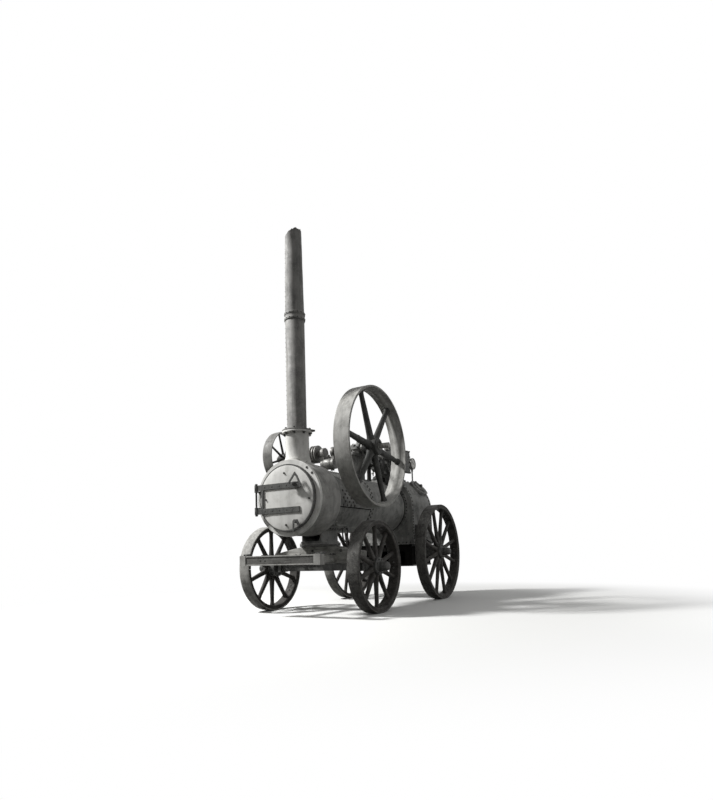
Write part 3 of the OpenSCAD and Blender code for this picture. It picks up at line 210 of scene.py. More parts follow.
@dataclass(frozen=True)
class Finish:
    """A surface of worn metal or timber, built from a base colour, patches, specks, runs and bump."""

    name: str
    slot: Slot
    base: str
    dark: str
    pale: str
    metallic: float = 0.0
    roughness: tuple[float, float] = (0.55, 0.8)
    patch_mm: float = 130
    patch_share: float = 0.38
    speck_mm: float = 7
    speck_share: float = 0.2
    run_mm: float = 60
    bump_mm: float = 0.7
    specular: float = 0.2

    def coordinates(self, tree: bpy.types.NodeTree) -> bpy.types.NodeSocket:
        """Gives the space that the patterns are drawn in, here the engine's own metres."""
        return add_node(tree, "ShaderNodeTexCoord").outputs["Object"]

    def cut(self, share: float, soft: float = 0.05) -> dict[str, float]:
        """Gives the noise values between which a surface turns from bare to covered.

        Args:
            share: the share of the surface that is covered.
            soft: how soft the blots' edges are.

        Returns:
            The two limits, by their socket names.
        """
        edge = 0.5 + (0.5 - share) * 0.42
        return {"From Min": edge - soft, "From Max": edge + soft}

    def pattern(self, space: bpy.types.NodeSocket, size_mm: float, detail: float, **more: float) -> dict:
        """Gives a noise texture's inputs for a pattern of a real size."""
        return {"Vector": space, "Scale": 1 / (size_mm * MM), "Detail": detail, **more}

    def figure(self, tree: bpy.types.NodeTree, space: bpy.types.NodeSocket) -> tuple[bpy.types.NodeSocket, ...]:
        """Draws the surface's colour and height.

        Args:
            tree: the material's node tree.
            space: the coordinates.

        Returns:
            The colour and the height, the height from 0 to 1.
        """
        put = partial(add_node, tree)
        patch = self.pattern(space, self.patch_mm, 7.0, Roughness=0.62, Distortion=0.35)
        patches = put("ShaderNodeTexNoise", patch).outputs["Fac"]
        specks = put("ShaderNodeTexNoise", self.pattern(space, self.speck_mm, 4.0, Roughness=0.62)).outputs["Fac"]
        drawn = put("ShaderNodeMapping", {"Vector": space, "Scale": (1.0, 1.0, 0.1)}).outputs["Vector"]
        runs = put("ShaderNodeTexNoise", self.pattern(drawn, self.run_mm, 5.0, Roughness=0.6)).outputs["Fac"]
        covered = put("ShaderNodeMapRange", {"Value": patches, **self.cut(self.patch_share, 0.13)}, **SOFT_STEP)
        spotted = put("ShaderNodeMapRange", {"Value": specks, **self.cut(self.speck_share)}, **SOFT_STEP)
        blots = {0: covered.outputs["Result"], 6: linear(self.base), 7: linear(self.dark)}
        blotched = put("ShaderNodeMix", blots, **BLEND).outputs[2]
        flecks = {0: spotted.outputs["Result"], 6: blotched, 7: linear(self.pale)}
        speckled = put("ShaderNodeMix", flecks, **BLEND).outputs[2]
        shade = put("ShaderNodeMapRange", {"Value": runs, **NOISE_SPAN, "To Min": 0.72, "To Max": 1.14})
        streaked = put("ShaderNodeMix", {0: 1.0, 6: speckled, 7: shade.outputs["Result"]}, **DARKEN)
        height = put("ShaderNodeMath", {0: patches, 1: specks}, operation="ADD")
        return streaked.outputs[2], height.outputs[0]

    def build(self) -> bpy.types.Material:
        """Makes the material, or gives it again if it was made.

        Returns:
            The material.
        """
        made = bpy.data.materials.get(self.name)
        if made:
            return made
        made = bpy.data.materials.new(self.name)
        made.use_nodes = True
        tree = made.node_tree
        tree.nodes.clear()
        put = partial(add_node, tree)
        space = self.coordinates(tree)
        colour, height = self.figure(tree, space)
        worn = put("ShaderNodeTexNoise", self.pattern(space, self.patch_mm * 0.4, 5.0)).outputs["Fac"]
        low, high = self.roughness
        rough = put("ShaderNodeMapRange", {"Value": worn, **NOISE_SPAN, "To Min": low, "To Max": high})
        bump = put("ShaderNodeBump", {"Strength": 1.0, "Distance": self.bump_mm * MM, "Height": height})
        surface = {
            "Base Color": colour,
            "Metallic": self.metallic,
            "Roughness": rough.outputs["Result"],
            "Specular IOR Level": self.specular,
            "Normal": bump.outputs["Normal"],
        }
        shader = put("ShaderNodeBsdfPrincipled", surface)
        put("ShaderNodeOutputMaterial", {"Surface": shader.outputs["BSDF"]})
        return made


@dataclass(frozen=True)
class Timber(Finish):
    """Wood whose grain follows the piece, from the coordinates kept with its mesh."""

    grain_mm: float = 5.0

    def coordinates(self, tree: bpy.types.NodeTree) -> bpy.types.NodeSocket:
        """Gives each timber's own coordinates, with Z along its grain."""
        return add_node(tree, "ShaderNodeAttribute", attribute_name="grain").outputs["Vector"]

    def figure(self, tree: bpy.types.NodeTree, space: bpy.types.NodeSocket) -> tuple[bpy.types.NodeSocket, ...]:
        """Draws grain lines and drying cracks over the worn paint.

        Args:
            tree: the material's node tree.
            space: the timber's coordinates.

        Returns:
            The colour and the height.
        """
        put = partial(add_node, tree)
        colour, _ = super().figure(tree, space)
        along = put("ShaderNodeMapping", {"Vector": space, "Scale": (1.0, 1.0, 0.03)}).outputs["Vector"]
        grain = put("ShaderNodeTexNoise", self.pattern(along, self.grain_mm, 6.0)).outputs["Fac"]
        wide = put("ShaderNodeTexNoise", self.pattern(along, self.grain_mm * 3, 3.0)).outputs["Fac"]
        cracks = put("ShaderNodeMapRange", {"Value": wide, **self.cut(0.2, 0.02)}).outputs["Result"]
        shade = put("ShaderNodeMapRange", {"Value": grain, **NOISE_SPAN, "To Min": 0.7, "To Max": 1.25})
        lined = put("ShaderNodeMix", {0: 1.0, 6: colour, 7: shade.outputs["Result"]}, **DARKEN)
        cracked = put("ShaderNodeMix", {0: cracks, 6: lined.outputs[2], 7: linear(self.dark)}, **BLEND)
        height = put("ShaderNodeMath", {0: grain, 1: cracks}, operation="SUBTRACT")
        return cracked.outputs[2], height.outputs[0]


# Rolled boiler plate, once painted: the paint has flaked to dull scale, so the eye sees grey blots and rain runs.
PLATE = Finish(
    "weathered_boiler_plate", Slot.BOILER, "#8e8e8b", "#6e6e6c", "#aeada8",
    patch_mm=150, patch_share=0.4, speck_mm=9, speck_share=0.18, bump_mm=1.0,
)
# Smokebox plate whose paint the heat has bleached: paler and chalkier than the barrel.
BLEACHED = Finish(
    "heat_bleached_plate", Slot.BOILER, "#a8a7a4", "#8a8986", "#c2c1bd",
    roughness=(0.6, 0.85), patch_mm=170, speck_mm=9, speck_share=0.18, bump_mm=0.9,
)
# Flat door plate with the remains of a pale primer: light, chalky, with darker rubbed places.
DOOR = Finish(
    "pale_primed_door_plate", Slot.DOOR, "#dad9d5", "#c4c3be", "#e6e5e1",
    roughness=(0.6, 0.85), patch_share=0.33, run_mm=260, bump_mm=0.6,
)
# Thin rolled chimney sheet, chalky paint over rust: mid grey with long runs down its length.
SHEET = Finish(
    "chalked_chimney_sheet", Slot.CHIMNEY, "#848380", "#6b6a68", "#a09f9b",
    patch_mm=150, speck_mm=8, run_mm=38, bump_mm=0.8,
)
# Sand-cast iron, oiled and dusty: dark, with a fine pebbled skin and a low broken shine.
CAST = Finish(
    "sand_cast_iron", Slot.CAST, "#4a4a48", "#353534", "#7c7b76", metallic=0.3, roughness=(0.45, 0.72),
    patch_mm=90, patch_share=0.4, speck_mm=6, speck_share=0.18, run_mm=50, specular=0.35,
)
# Cast iron of the big belt wheels' spokes and bosses, dry and dark.
WHEEL_IRON = Finish(
    "dry_cast_iron", Slot.CAST, "#3a3a38", "#2a2a29", "#666561", metallic=0.15, roughness=(0.5, 0.75),
    patch_mm=110, patch_share=0.4, speck_share=0.18,
)
# The flywheel's rim and the bar's straps, rubbed bare by belts, hands and traces: pale, with darker pits left.
RUBBED = Finish(
    "rubbed_bare_iron", Slot.CAST, "#a4a39f", "#878682", "#c0bfba",
    roughness=(0.55, 0.75), patch_mm=120, patch_share=0.34, run_mm=45, bump_mm=0.5, specular=0.15,
)
# The belt pulley's rim, worn mid grey by its belt and dusted over.
WORN = Finish(
    "belt_worn_iron", Slot.CAST, "#767572", "#5c5b59", "#8f8e8a",
    roughness=(0.55, 0.75), patch_mm=110, run_mm=50, bump_mm=0.5,
)
# Forged tyres, bright where the road polished them and scaled elsewhere.
TYRE = Finish(
    "forged_tyre_iron", Slot.TYRE, "#a09f9b", "#7f7e7a", "#bbbab5", roughness=(0.5, 0.72),
    patch_mm=90, patch_share=0.4, speck_mm=8, speck_share=0.22, run_mm=30, bump_mm=0.6, specular=0.15,
)
# The left wheels' tyres: the same forged iron, painted dark as painted shade for the boiler's shadow on them, paler in
# spots.
SHADED_TYRE = Finish(
    "left_tyre_iron_painted_shade", Slot.TYRE, "#5e5d5a", "#3a3937", "#8a8984",
    patch_mm=90, patch_share=0.45, speck_mm=8, speck_share=0.22, run_mm=30, specular=0.15,
)
# Turned and filed steel of shafts and rods, dulled by old oil and dust: grey, with a soft broken shine.
BRIGHT = Finish(
    "oil_dulled_steel", Slot.CAST, "#6f6e6b", "#4d4c4a", "#a3a29d", metallic=0.6, roughness=(0.4, 0.65),
    patch_mm=60, speck_mm=5, speck_share=0.22, run_mm=40, bump_mm=0.25, specular=0.4,
)
# Hammered rivet and bolt heads, painted darker than the plate round them as painted shade for the shadows the heads
# cast.
SHADED_RIVET = Finish(
    "rivet_iron_painted_shade", Slot.BOILER, "#454543", "#333332", "#6e6d69", metallic=0.2, roughness=(0.5, 0.72),
    patch_mm=40, patch_share=0.35, speck_mm=6, speck_share=0.22, run_mm=30, bump_mm=0.3,
)
# Soot on the tube plate and the fire bars; soot on the ashpan, made near black also as painted shade under the boiler;
# and dark strips along the seams that are painted shade: near black, without any shine.
SOOT_AND_SHADE = Finish(
    "flue_soot_and_painted_shade", Slot.CAST, "#1c1b1a", "#0e0e0d", "#302f2d", roughness=(0.85, 0.98),
    patch_mm=60, patch_share=0.4, speck_mm=6, run_mm=40, bump_mm=0.8, specular=0.05,
)
# Enamelled gauge dial: smooth off-white, slightly yellowed by heat.
DIAL = Finish(
    "enamelled_dial", Slot.CAST, "#cfcdc6", "#b4b2aa", "#dddbd5", roughness=(0.22, 0.34),
    patch_mm=50, patch_share=0.3, speck_mm=4, speck_share=0.1, run_mm=40, bump_mm=0.02, specular=0.5,
)
# Old oak of the wheels under tarry paint: near black, with grain and cracks showing through.
OAK = Timber(
    "tarred_oak", Slot.WHEEL, "#454340", "#282624", "#696763",
    roughness=(0.6, 0.85), patch_mm=120, speck_mm=9, speck_share=0.16, bump_mm=0.9,
)
# Bare weathered frame timber: silver grey, with open grain.
ASH_WOOD = Timber(
    "weathered_frame_timber", Slot.FRAME, "#b6b5b0", "#82817c", "#cac9c4",
    roughness=(0.7, 0.9), patch_mm=140, speck_mm=9, bump_mm=1.2,
)
# Splinter bar timber darkened by tar and handling, with its grain still raised.
TARRED = Timber(
    "handled_bar_timber", Slot.FRAME, "#686764", "#474643", "#858480",
    roughness=(0.65, 0.85), speck_mm=9, bump_mm=1.1,
)


@dataclass
class Form:
    """A mesh in the making, in millimetres, from the shapes that an engine is built of."""

    name: str
    verts: list[Vector] = field(default_factory=list)
    faces: list[tuple[int, ...]] = field(default_factory=list)
    grain: list[Vector] = field(default_factory=list)
    grain_place: Matrix = field(default_factory=lambda: Matrix.Identity(4))

    def add(self, points: Sequence[Vector], faces: Sequence[Sequence[int]]) -> None:
        """Adds vertices and the faces between them.

        Args:
            points: the vertices, in the engine's frame.
            faces: each face as indices into these points.
        """
        first = len(self.verts)
        self.verts += points
        self.grain += [self.grain_place @ p for p in points]
        self.faces += [tuple(first + i for i in f) for f in faces]

    def loft(self, rings: Sequence[Sequence[Vector]], closed: bool = False) -> None:
        """Skins rings of equal length one after another.

        Args:
            rings: the rings, each a closed loop of points.
            closed: whether the last ring joins the first; otherwise the ends are capped.
        """
        n, count = len(rings[0]), len(rings)
        faces: list[Sequence[int]] = []
        for row in range(count if closed else count - 1):
            a, b = row * n, (row + 1) % count * n
            faces += [(a + i, a + (i + 1) % n, b + (i + 1) % n, b + i) for i in range(n)]
        if not closed:
            faces += [tuple(range(n))[::-1], tuple(range((count - 1) * n, count * n))]
        self.add([p for ring in rings for p in ring], faces)

    def revolve(self, profile: Profile, place: Matrix, steps: int = 48, arc: tuple[float, float] | None = None) -> None:
        """Turns a closed outline of radius and height round a place's Z.

        Args:
            profile: the outline's corners. A solid of revolution starts and ends on radius 0.
            place: where it stands.
            steps: how many stations round the turn.
            arc: the first and last angle in radians, for a part of the turn.
        """
        solid = profile[0][0] == 0
        inner = profile[1:-1] if solid else profile
        angles = spread(*arc, steps) if arc else [a for a, _, _ in ring_of(steps, 1.0)]
        rings = [[place @ Vector((r * math.cos(a), r * math.sin(a), h)) for r, h in inner] for a in angles]
        if not solid:
            self.loft(rings, closed=arc is None)
            return
        n = len(inner)
        poles = [place @ Vector((0, 0, profile[end][1])) for end in (0, -1)]
        low, high = steps * n, steps * n + 1
        faces: list[Sequence[int]] = []
        for s in range(steps):
            a, b = s * n, (s + 1) % steps * n
            faces += [(a + i, b + i, b + i + 1, a + i + 1) for i in range(n - 1)]
            faces += [(low, b, a), (high, a + n - 1, b + n - 1)]
        self.add([p for ring in rings for p in ring] + poles, faces)

    def prism(self, outline: Profile, place: Matrix, depth: float) -> None:
        """Pushes a flat outline out along a place's Z.

        Args:
            outline: its corners in the place's XY plane.
            place: where it lies.
            depth: its thickness.
        """
        self.loft([[place @ Vector((x, y, z)) for x, y in outline] for z in (0.0, depth)])

    def box(self, low: Point, high: Point) -> None:
        """Adds a block from its lowest to its highest corner."""
        (x0, y0, z0), (x1, y1, z1) = low, high
        self.prism([(x0, y0), (x1, y0), (x1, y1), (x0, y1)], shift(0, 0, z0), z1 - z0)

    def slab(self, place: Matrix, size: Point) -> None:
        """Adds a block that stands on a place, centred on it."""
        a, b, h = size[0] / 2, size[1] / 2, size[2]
        self.prism([(-a, -b), (a, -b), (a, b), (-a, b)], place, h)

    def bar(self, start: Point | Vector, end: Point | Vector, radius: float, steps: int = 20) -> None:
        """Adds a round bar with eased ends.

        Args:
            start: the middle of one end.
            end: the middle of the other.
            radius: its radius.
            steps: how many sides it is drawn with.
        """
        run = Vector(end) - Vector(start)
        length, ease = run.length, min(2.0, radius * 0.2, run.length * 0.2)
        tip = radius - ease
        outline = [(0, 0), (tip, 0), (radius, ease), (radius, length - ease), (tip, length), (0, length)]
        self.revolve(outline, facing(start, run), steps)

    def tube(self, points: Sequence[Point | Vector], radius: float, steps: int = 12) -> None:
        """Sweeps a round pipe or rod along points.

        Args:
            points: the path.
            radius: the pipe's radius.
            steps: how many sides it is drawn with.
        """
        path = [Vector(p) for p in points]
        pose = facing(path[0], path[1] - path[0]).to_quaternion()
        rings = []
        for i, p in enumerate(path):
            ahead = (path[min(i + 1, len(path) - 1)] - path[max(i - 1, 0)]).normalized()
            pose = (pose @ Vector(UP)).rotation_difference(ahead) @ pose
            rings.append([p + pose @ Vector((x, y, 0)) for _, x, y in ring_of(steps, radius)])
        self.loft(rings)

    def domes(self, places: Iterable[Matrix], radius: float, height: float | None = None) -> None:
        """Adds a snap rivet head on each place.

        Args:
            places: places on the surface, Z outwards.
            radius: the heads' radius.
            height: how far they stand out, or none for the usual share of the radius.
        """
        h = radius * 0.62 if height is None else height
        for place in places:
            self.revolve([(0, -1), (radius, -1), (radius * 0.94, h * 0.45), (radius * 0.6, h * 0.86), (0, h)], place, 9)

    def bolts(self, places: Iterable[Matrix], size: float, washer: bool = True) -> None:
        """Adds a nut on its stud, with a washer under it, on each place.

        Args:
            places: places on the surface, Z outwards.
            size: the bolts' diameter.
            washer: whether a washer lies under the nut.
        """
        t = size * 0.18 if washer else 0.0
        ring = [(0, -1), (size * 1.15, -1), (size * 1.15, t * 0.7), (size * 1.05, t), (0, t)]
        top, side = t + size * 0.82, size * 0.88
        nut = [(0, t - 1), (side, t - 1), (side, t + size * 0.68), (size * 0.74, top), (0, top)]
        end = t + size * 1.12
        stud = [(0, t), (size * 0.5, t), (size * 0.5, end - size * 0.12), (size * 0.36, end), (0, end)]
        for place in places:
            if washer:
                self.revolve(ring, place, 14)
            self.revolve(nut, place @ turn(size * 7.3 + place.translation.z, "Z"), 6)
            self.revolve(stud, place, 10)

    def dress(
        self, finish: Finish, body: str = "chassis", bevel: float = 0.0, replaces: Sequence[str] = ()
    ) -> None:
        """Turns the form into a piece of the engine.

        Args:
            finish: its surface.
            body: the body it rides on.
            bevel: the radius of its eased edges in millimetres, or 0 for none.
            replaces: the plain nodes that it stands for.
        """
        mesh = bpy.data.meshes.new(self.name)
        mesh.from_pydata([v * MM for v in self.verts], [], self.faces)
        work = bmesh.new()
        work.from_mesh(mesh)
        bmesh.ops.recalc_face_normals(work, faces=work.faces)
        for face in work.faces:
            face.smooth = True
        for edge in work.edges:
            edge.smooth = len(edge.link_faces) == 2 and edge.calc_face_angle() < CREASE
        work.to_mesh(mesh)
        work.free()
        kept = mesh.attributes.new("grain", "FLOAT_VECTOR", "POINT")
        kept.data.foreach_set("vector", [c * MM for v in self.grain for c in v])
        piece = bpy.data.objects.new(self.name, mesh)
        bpy.context.scene.collection.objects.link(piece)
        mesh.materials.append(finish.build())
        if bevel:
            ease_edges(piece, bevel)
        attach(piece, body)
        if replaces:
            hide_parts(*replaces)
        log.info("%s: %d faces on %s", self.name, len(mesh.polygons), body)


def ease_edges(piece: bpy.types.Object, radius: float) -> None:
    """Rounds a piece's sharp edges a little, so that they catch the light.

    Args:
        piece: the object.
        radius: the edge radius in millimetres.
    """
    bevel = piece.modifiers.new("eased_edges", "BEVEL")
    bevel.width = radius * MM
    bevel.segments = 2
    bevel.limit_method = "ANGLE"
    bevel.angle_limit = EASED
    bevel.harden_normals = True


@dataclass(frozen=True)
class Stations:
    """The engine's main places in millimetres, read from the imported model."""

    boiler_h: float
    smokebox_x: float
    front_x: float
    smokebox_r: float
    throat_x: float
    firebox_x: float
    firebox_r: float
    firebox_low: float
    seam_x: float
    course_r: float
    saddle_r: float
    barrel_r: float
    crank_x: float
    crank_h: float
    chimney_x: float
    front_axle_x: float
    rear_axle_x: float

    @staticmethod
    def corners(node: str) -> tuple[Vector, Vector]:
        """Gives a node's lowest and highest corner in millimetres."""
        low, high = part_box(node)
        return low / MM, high / MM

    @classmethod
    def read(cls) -> "Stations":
        """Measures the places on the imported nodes.

        Returns:
            The stations.
        """
        shell_low, shell_high = cls.corners("smokebox_shell")
        box_low, box_high = cls.corners("firebox_wrapper")
        saddle_low, saddle_high = cls.corners("crank_saddle")
        wheel_low, wheel_high = cls.corners("flywheel")
        band, backhead_t, saddle_t, lap, flange_r = 8, 10, 12, 10, 185
        middle = {node: sum(cls.corners(node), Vector()).x / 2 for node in ("front_axle", "tyre_rl")}
        return cls(
            boiler_h=(shell_low.z + shell_high.z) / 2,
            smokebox_x=shell_low.x,
            front_x=cls.corners("smokebox_ring")[1].x,
            smokebox_r=(shell_high.z - shell_low.z) / 2,
            throat_x=box_high.x - band,
            firebox_x=box_low.x - backhead_t,
            firebox_r=(box_high.y - box_low.y) / 2 - band,
            firebox_low=box_low.z,
            seam_x=saddle_low.x - 6,
            course_r=saddle_high.y - saddle_t,
            saddle_r=saddle_high.y,
            barrel_r=saddle_high.y - saddle_t - lap,
            crank_x=(wheel_low.x + wheel_high.x) / 2,
            crank_h=(wheel_low.z + wheel_high.z) / 2,
            chimney_x=cls.corners("chimney_lower")[1].x - flange_r,
            front_axle_x=middle["front_axle"],
            rear_axle_x=middle["tyre_rl"],
        )

    def on_shell(self, x: float, angle: float, radius: float) -> Matrix:
        """Gives a place on a round shell about the boiler's axis.

        Args:
            x: the station along the engine.
            angle: the angle from the top towards the left side, in degrees.
            radius: the shell's radius.

        Returns:
            The place, Z outwards.
        """
        a = math.radians(angle)
        out = Vector((0, math.sin(a), math.cos(a)))
        return facing(Vector((x, 0, self.boiler_h)) + out * radius, out)

    def on_cylinder(self, s: float, y: float, z: float) -> Vector:
        """Gives a point in the cylinder's own slope: s behind the crank, y to the left, z above its axis."""
        c, t = math.cos(CYLINDER_TILT), math.sin(CYLINDER_TILT)
        return Vector((self.crank_x - s * c + z * t, y, self.crank_h + s * t + z * c))


@dataclass
class Boiler:
    """Rivets, stays, plugs and manhole bolts of the barrel, firebox and smokebox."""

    at: Stations
    rivet_r: float = 15.5
    pitch: float = 58.0
    stay_pitch: float = 112.0
    stay_r: float = 12.0
    plug_r: float = 30.0

    def build(self) -> None:
        """Dresses the boiler from the barrel to the manhole."""
        self.barrel_rivets()
        self.caulking()
        self.smokebox_bolts()
        self.firebox_rivets()
        self.stays()
        self.plugs()
        self.manhole_bolts()

    def row_round(self, form: Form, x: float, radius: float, half: float = 180.0, stagger: float = 0.0) -> None:
        """Sets a row of rivets round a shell.

        Args:
            form: the rivets' form.
            x: the row's station.
            radius: the shell's radius there.
            half: how far the row reaches down each side from the top, in degrees.
            stagger: a share of the pitch by which the row is moved.
        """
        count = round(2 * half / math.degrees(self.pitch / radius))
        angles = [-half + (i + 0.5 + stagger) * 2 * half / count for i in range(count)]
        form.domes([self.at.on_shell(x, angle, radius) for angle in angles], self.rivet_r)

    def row_along(self, form: Form, x0: float, x1: float, angle: float, radius: float) -> None:
        """Sets a row of rivets along a shell.

        Args:
            form: the rivets' form.
            x0: the row's first station.
            x1: the row's last station.
            angle: the angle from the top towards the left side, in degrees.
            radius: the shell's radius there.
        """
        count = round((x1 - x0) / self.pitch)
        stations = [x0 + (i + 0.5) * (x1 - x0) / count for i in range(count)]
        form.domes([self.at.on_shell(x, angle, radius) for x in stations], self.rivet_r)

    def barrel_rivets(self) -> None:
        """Rivets the lapped courses, the throat ring and the saddle."""
        at = self.at
        form = Form("barrel_rivets")
        for behind, stagger in ((50, 0.0), (96, 0.5)):
            self.row_round(form, at.seam_x - behind, at.barrel_r, stagger=stagger)
        throat = [(y, z) for _, y, z in ring_of(50, at.barrel_r + 25) if z > -at.barrel_r * 0.5]
        form.domes([facing((at.throat_x + 16, y, at.boiler_h + z), AHEAD) for y, z in throat], self.stay_r)
        low, high = at.corners("crank_saddle")
        for side in Side:
            for angle in (10, 28):
                self.row_along(form, low.x + 10, high.x - 10, angle * side.value, at.saddle_r)
            for row in range(5):
                angle = side.value * (100.2 - 6.4 * row)
                stations = [high.x - 89 - col * 93 - row % 2 * 47 for col in range(4)]
                form.domes([at.on_shell(x, angle, at.saddle_r) for x in stations], self.rivet_r)
        form.dress(SHADED_RIVET)

    def caulking(self) -> None:
        """Runs dark strips along the barrel's lap, the throat ring, the smokebox's back edge and the saddle's lower
        edges, as painted shade for the shade lines at these steps.
        """
        at = self.at
        form = Form("painted_seam_shade_strips")
        bead = [(0, 0), (4, 1), (4, 23), (0, 24)]
        seams = ((at.seam_x - 24, at.barrel_r), (at.throat_x + 16, at.barrel_r), (at.smokebox_x - 24, at.saddle_r))
        for x, r in seams:
            form.revolve([(r - 1 + up, along) for up, along in bead], facing((x, 0, at.boiler_h), AHEAD), 96)
        low, high = at.corners("crank_saddle")
        edge = math.sqrt(at.saddle_r**2 - (at.boiler_h - low.z) ** 2) - 2
        for side in Side:
            y, z = side.value * edge, low.z - 1
            form.bar((low.x, y, z), (high.x, y, z), 6, steps=8)
        form.dress(SOOT_AND_SHADE)

    def smokebox_bolts(self) -> None:
        """Sets the bolts in the plate round the smokebox door."""
        at = self.at
        studs = Form("smokebox_front_bolts")
        spots = ((209, 313), (276, 340), (347, 271))
        studs.domes([facing((at.front_x, y, at.boiler_h + z), AHEAD) for y, z in spots], 15, 9)
        studs.dress(SHADED_RIVET)

    def firebox_rivets(self) -> None:
        """Rivets the firebox's edges and its foundation ring."""
        at = self.at
        form = Form("firebox_rivets")
        first, last = at.firebox_x + 40, at.throat_x - 26
        rise = (at.boiler_h - at.firebox_low - 90) / 11
        heights = [at.firebox_low + 80 + i * rise for i in range(11)]
        ring_h = at.firebox_low + 26
        for x in (last, first):
            self.row_round(form, x, at.firebox_r, 90.0)
            for side in Side:
                y = side.value * at.firebox_r
                form.domes([facing((x, y, z), side.out) for z in heights], self.rivet_r)
        for side in Side:
            y = side.value * (at.firebox_r + 8)
            form.domes([facing((x, y, ring_h), side.out) for x in spread(first, last, 13)], self.rivet_r)
        form.domes([facing((at.throat_x + 8, y, ring_h), AHEAD) for y in spread(-450, 450, 15)], self.rivet_r)
        form.dress(SHADED_RIVET)

    def stays(self) -> None:
        """Sets the stay heads on the firebox's flat sides and on its throat plate."""
        at = self.at
        form = Form("firebox_stays")
        low, high = at.corners("rear_axle_bracket_l")
        spots = [
            (at.firebox_x + 98 + col * self.stay_pitch, at.firebox_low + 112 + row * self.stay_pitch)
            for row in range(5)
            for col in range(6)
        ]
        clear = [(x, z) for x, z in spots if not (low.x - 16 < x < high.x + 16 and z < high.z + 16)]
        for side in Side:
            form.domes([facing((x, side.value * at.firebox_r, z), side.out) for x, z in clear], self.stay_r, 5)
        for z in (at.firebox_low + 96 + row * 60 for row in range(3)):
            seen = [y for y in spread(-420, 420, 8) if math.hypot(y, z - at.boiler_h) > at.barrel_r + 70]
            form.domes([facing((at.throat_x, y, z), AHEAD) for y in seen if abs(y) > 80], self.stay_r, 5)
        form.dress(PLATE)

    def plugs(self) -> None:
        """Adds mud plugs at the firebox's lower corners and a blow-off cock on the left side."""
        at = self.at
        form = Form("mud_plugs")
        r = self.plug_r
        for side in Side:
            for x in (at.firebox_x + 60, at.throat_x - 62):
                place = facing((x, side.value * at.firebox_r, at.firebox_low + 110), side.out)
                form.revolve([(0, -2), (r, -2), (r, 9), (r - 5, 13), (0, 13)], place, 20)
                form.slab(place @ shift(0, 0, 12), (21, 21, 18))
        place = facing((at.firebox_x + 640, at.firebox_r, at.firebox_low + 240), Side.LEFT.out)
        form.revolve([(0, -2), (24, -2), (24, 10), (15, 14), (15, 44), (20, 50), (20, 68), (0, 68)], place, 16)
        for start, end, radius in (
            ((0, -6, 56), (0, -62, 56), 11),
            ((-38, 26, 58), (38, 26, 58), 6),
            ((0, 0, 56), (0, 30, 56), 7),
        ):
            form.bar(place @ Vector(start), place @ Vector(end), radius)
        form.dress(CAST, bevel=1.5)

    def manhole_bolts(self) -> None:
        """Bolts the manhole's ring and lid on the firebox's left shoulder."""
        at = self.at
        low, high = at.corners("manhole")
        place = at.on_shell((low.x + high.x) / 2, 48, at.firebox_r + 34)
        form = Form("manhole_bolts")
        ring = [((169 if abs(c) > 0.5 else 90) * c, 124 * s) for _, c, s in ring_of(12, 1.0, 0.26)]
        form.domes([place @ shift(along, across, 0) for along, across in ring], 11, 7)
        form.bolts([place @ shift(0, 0, 26)], 26)
        form.dress(SHADED_RIVET)


@dataclass
class SmokeboxFront:
    """Bolts, lip and fittings of the smokebox door and its hinge."""

    at: Stations
    lip_r: float = 9.0
    strap_up: float = 145.0
    strap_t: float = 12.0

    def build(self) -> None:
        """Builds the door with its bolts and fittings."""
        self.door()
        self.bolts()
        self.fittings()

    def door(self) -> None:
        """Builds the dished door with its rolled lip in place of the plain disc."""
        low, high = self.at.corners("smokebox_door")
        radius, deep, lip = (high.z - low.z) / 2, high.x - low.x, self.lip_r
        form = Form("dished_door")
        place = facing((low.x, 0, self.at.boiler_h), AHEAD)
        inner = radius - 2 * lip
        dish = [(0, 0), (inner, 0), (inner, deep - 8), (inner - 10, deep - 5), (radius - 120, deep - 1), (0, deep)]
        form.revolve(dish, place, 96)
        form.dress(DOOR, "smokebox_door", 0.0, ["smokebox_door"])
        # The rolled lip is a separate piece in the dark cast iron finish, as painted shade for the shadow round the
        # door's edge.
        rim = Form("door_rim_painted_shade")
        angles = (2.6, 2.1, 1.57, 1.0, 0.4, -0.3)
        curl = [(radius + lip * 0.9 * math.sin(a) - lip, deep - 16 + lip * math.cos(a)) for a in angles]
        edge = [(inner - 2, 0), (radius - 6, 0), (radius, 6), (radius, deep - 30)]
        rim.revolve([*edge, *curl, (inner - 2, deep - 8)], place, 96)
        rim.dress(CAST, "smokebox_door")

    def bolts(self) -> None:
        """Sets the bolts on the door and its straps."""
        at = self.at
        front = at.corners("smokebox_door")[1].x
        form = Form("door_bolts")
        spots = ((-17, 294), (-294, -7), (334, -30), (-1, -323))
        form.bolts([facing((front, y, at.boiler_h + z), AHEAD) for y, z in spots], 11)
        strap_x = front + self.strap_t
        for z in (self.strap_up, -self.strap_up):
            along = (-304, -196, -88, 20, 104)
            form.domes([facing((strap_x, y, at.boiler_h + z), AHEAD) for y in along], 10, 5)
        form.bolts([facing((strap_x, 132, at.boiler_h + self.strap_up - 4), AHEAD)], 16)
        form.dress(SHADED_RIVET, "smokebox_door")

    def fittings(self) -> None:
        """Adds the latch's pivot nut and block, and the end knobs of the hinge pin."""
        at = self.at
        form = Form("latch_block")
        face = at.corners("smokebox_door")[1].x + self.strap_t
        z = at.boiler_h + self.strap_up
        form.box((face, 120, z - 30), (face + 22, 150, z + 24))
        form.bolts([facing((at.corners("door_latch")[1].x, 168, z), AHEAD)], 24)
        form.dress(CAST, "smokebox_door", 2.0)
        low, high = at.corners("hinge_post")
        knobs = Form("hinge_knobs")
        knob = [(0, -8), (17, -8), (19, -2), (16, 5), (7, 9), (0, 10)]
        for end, way in ((high.z, UP), (low.z, DOWN)):
            knobs.revolve(knob, facing((high.x - 22, (low.y + high.y) / 2, end), way), 20)
        knobs.dress(CAST)


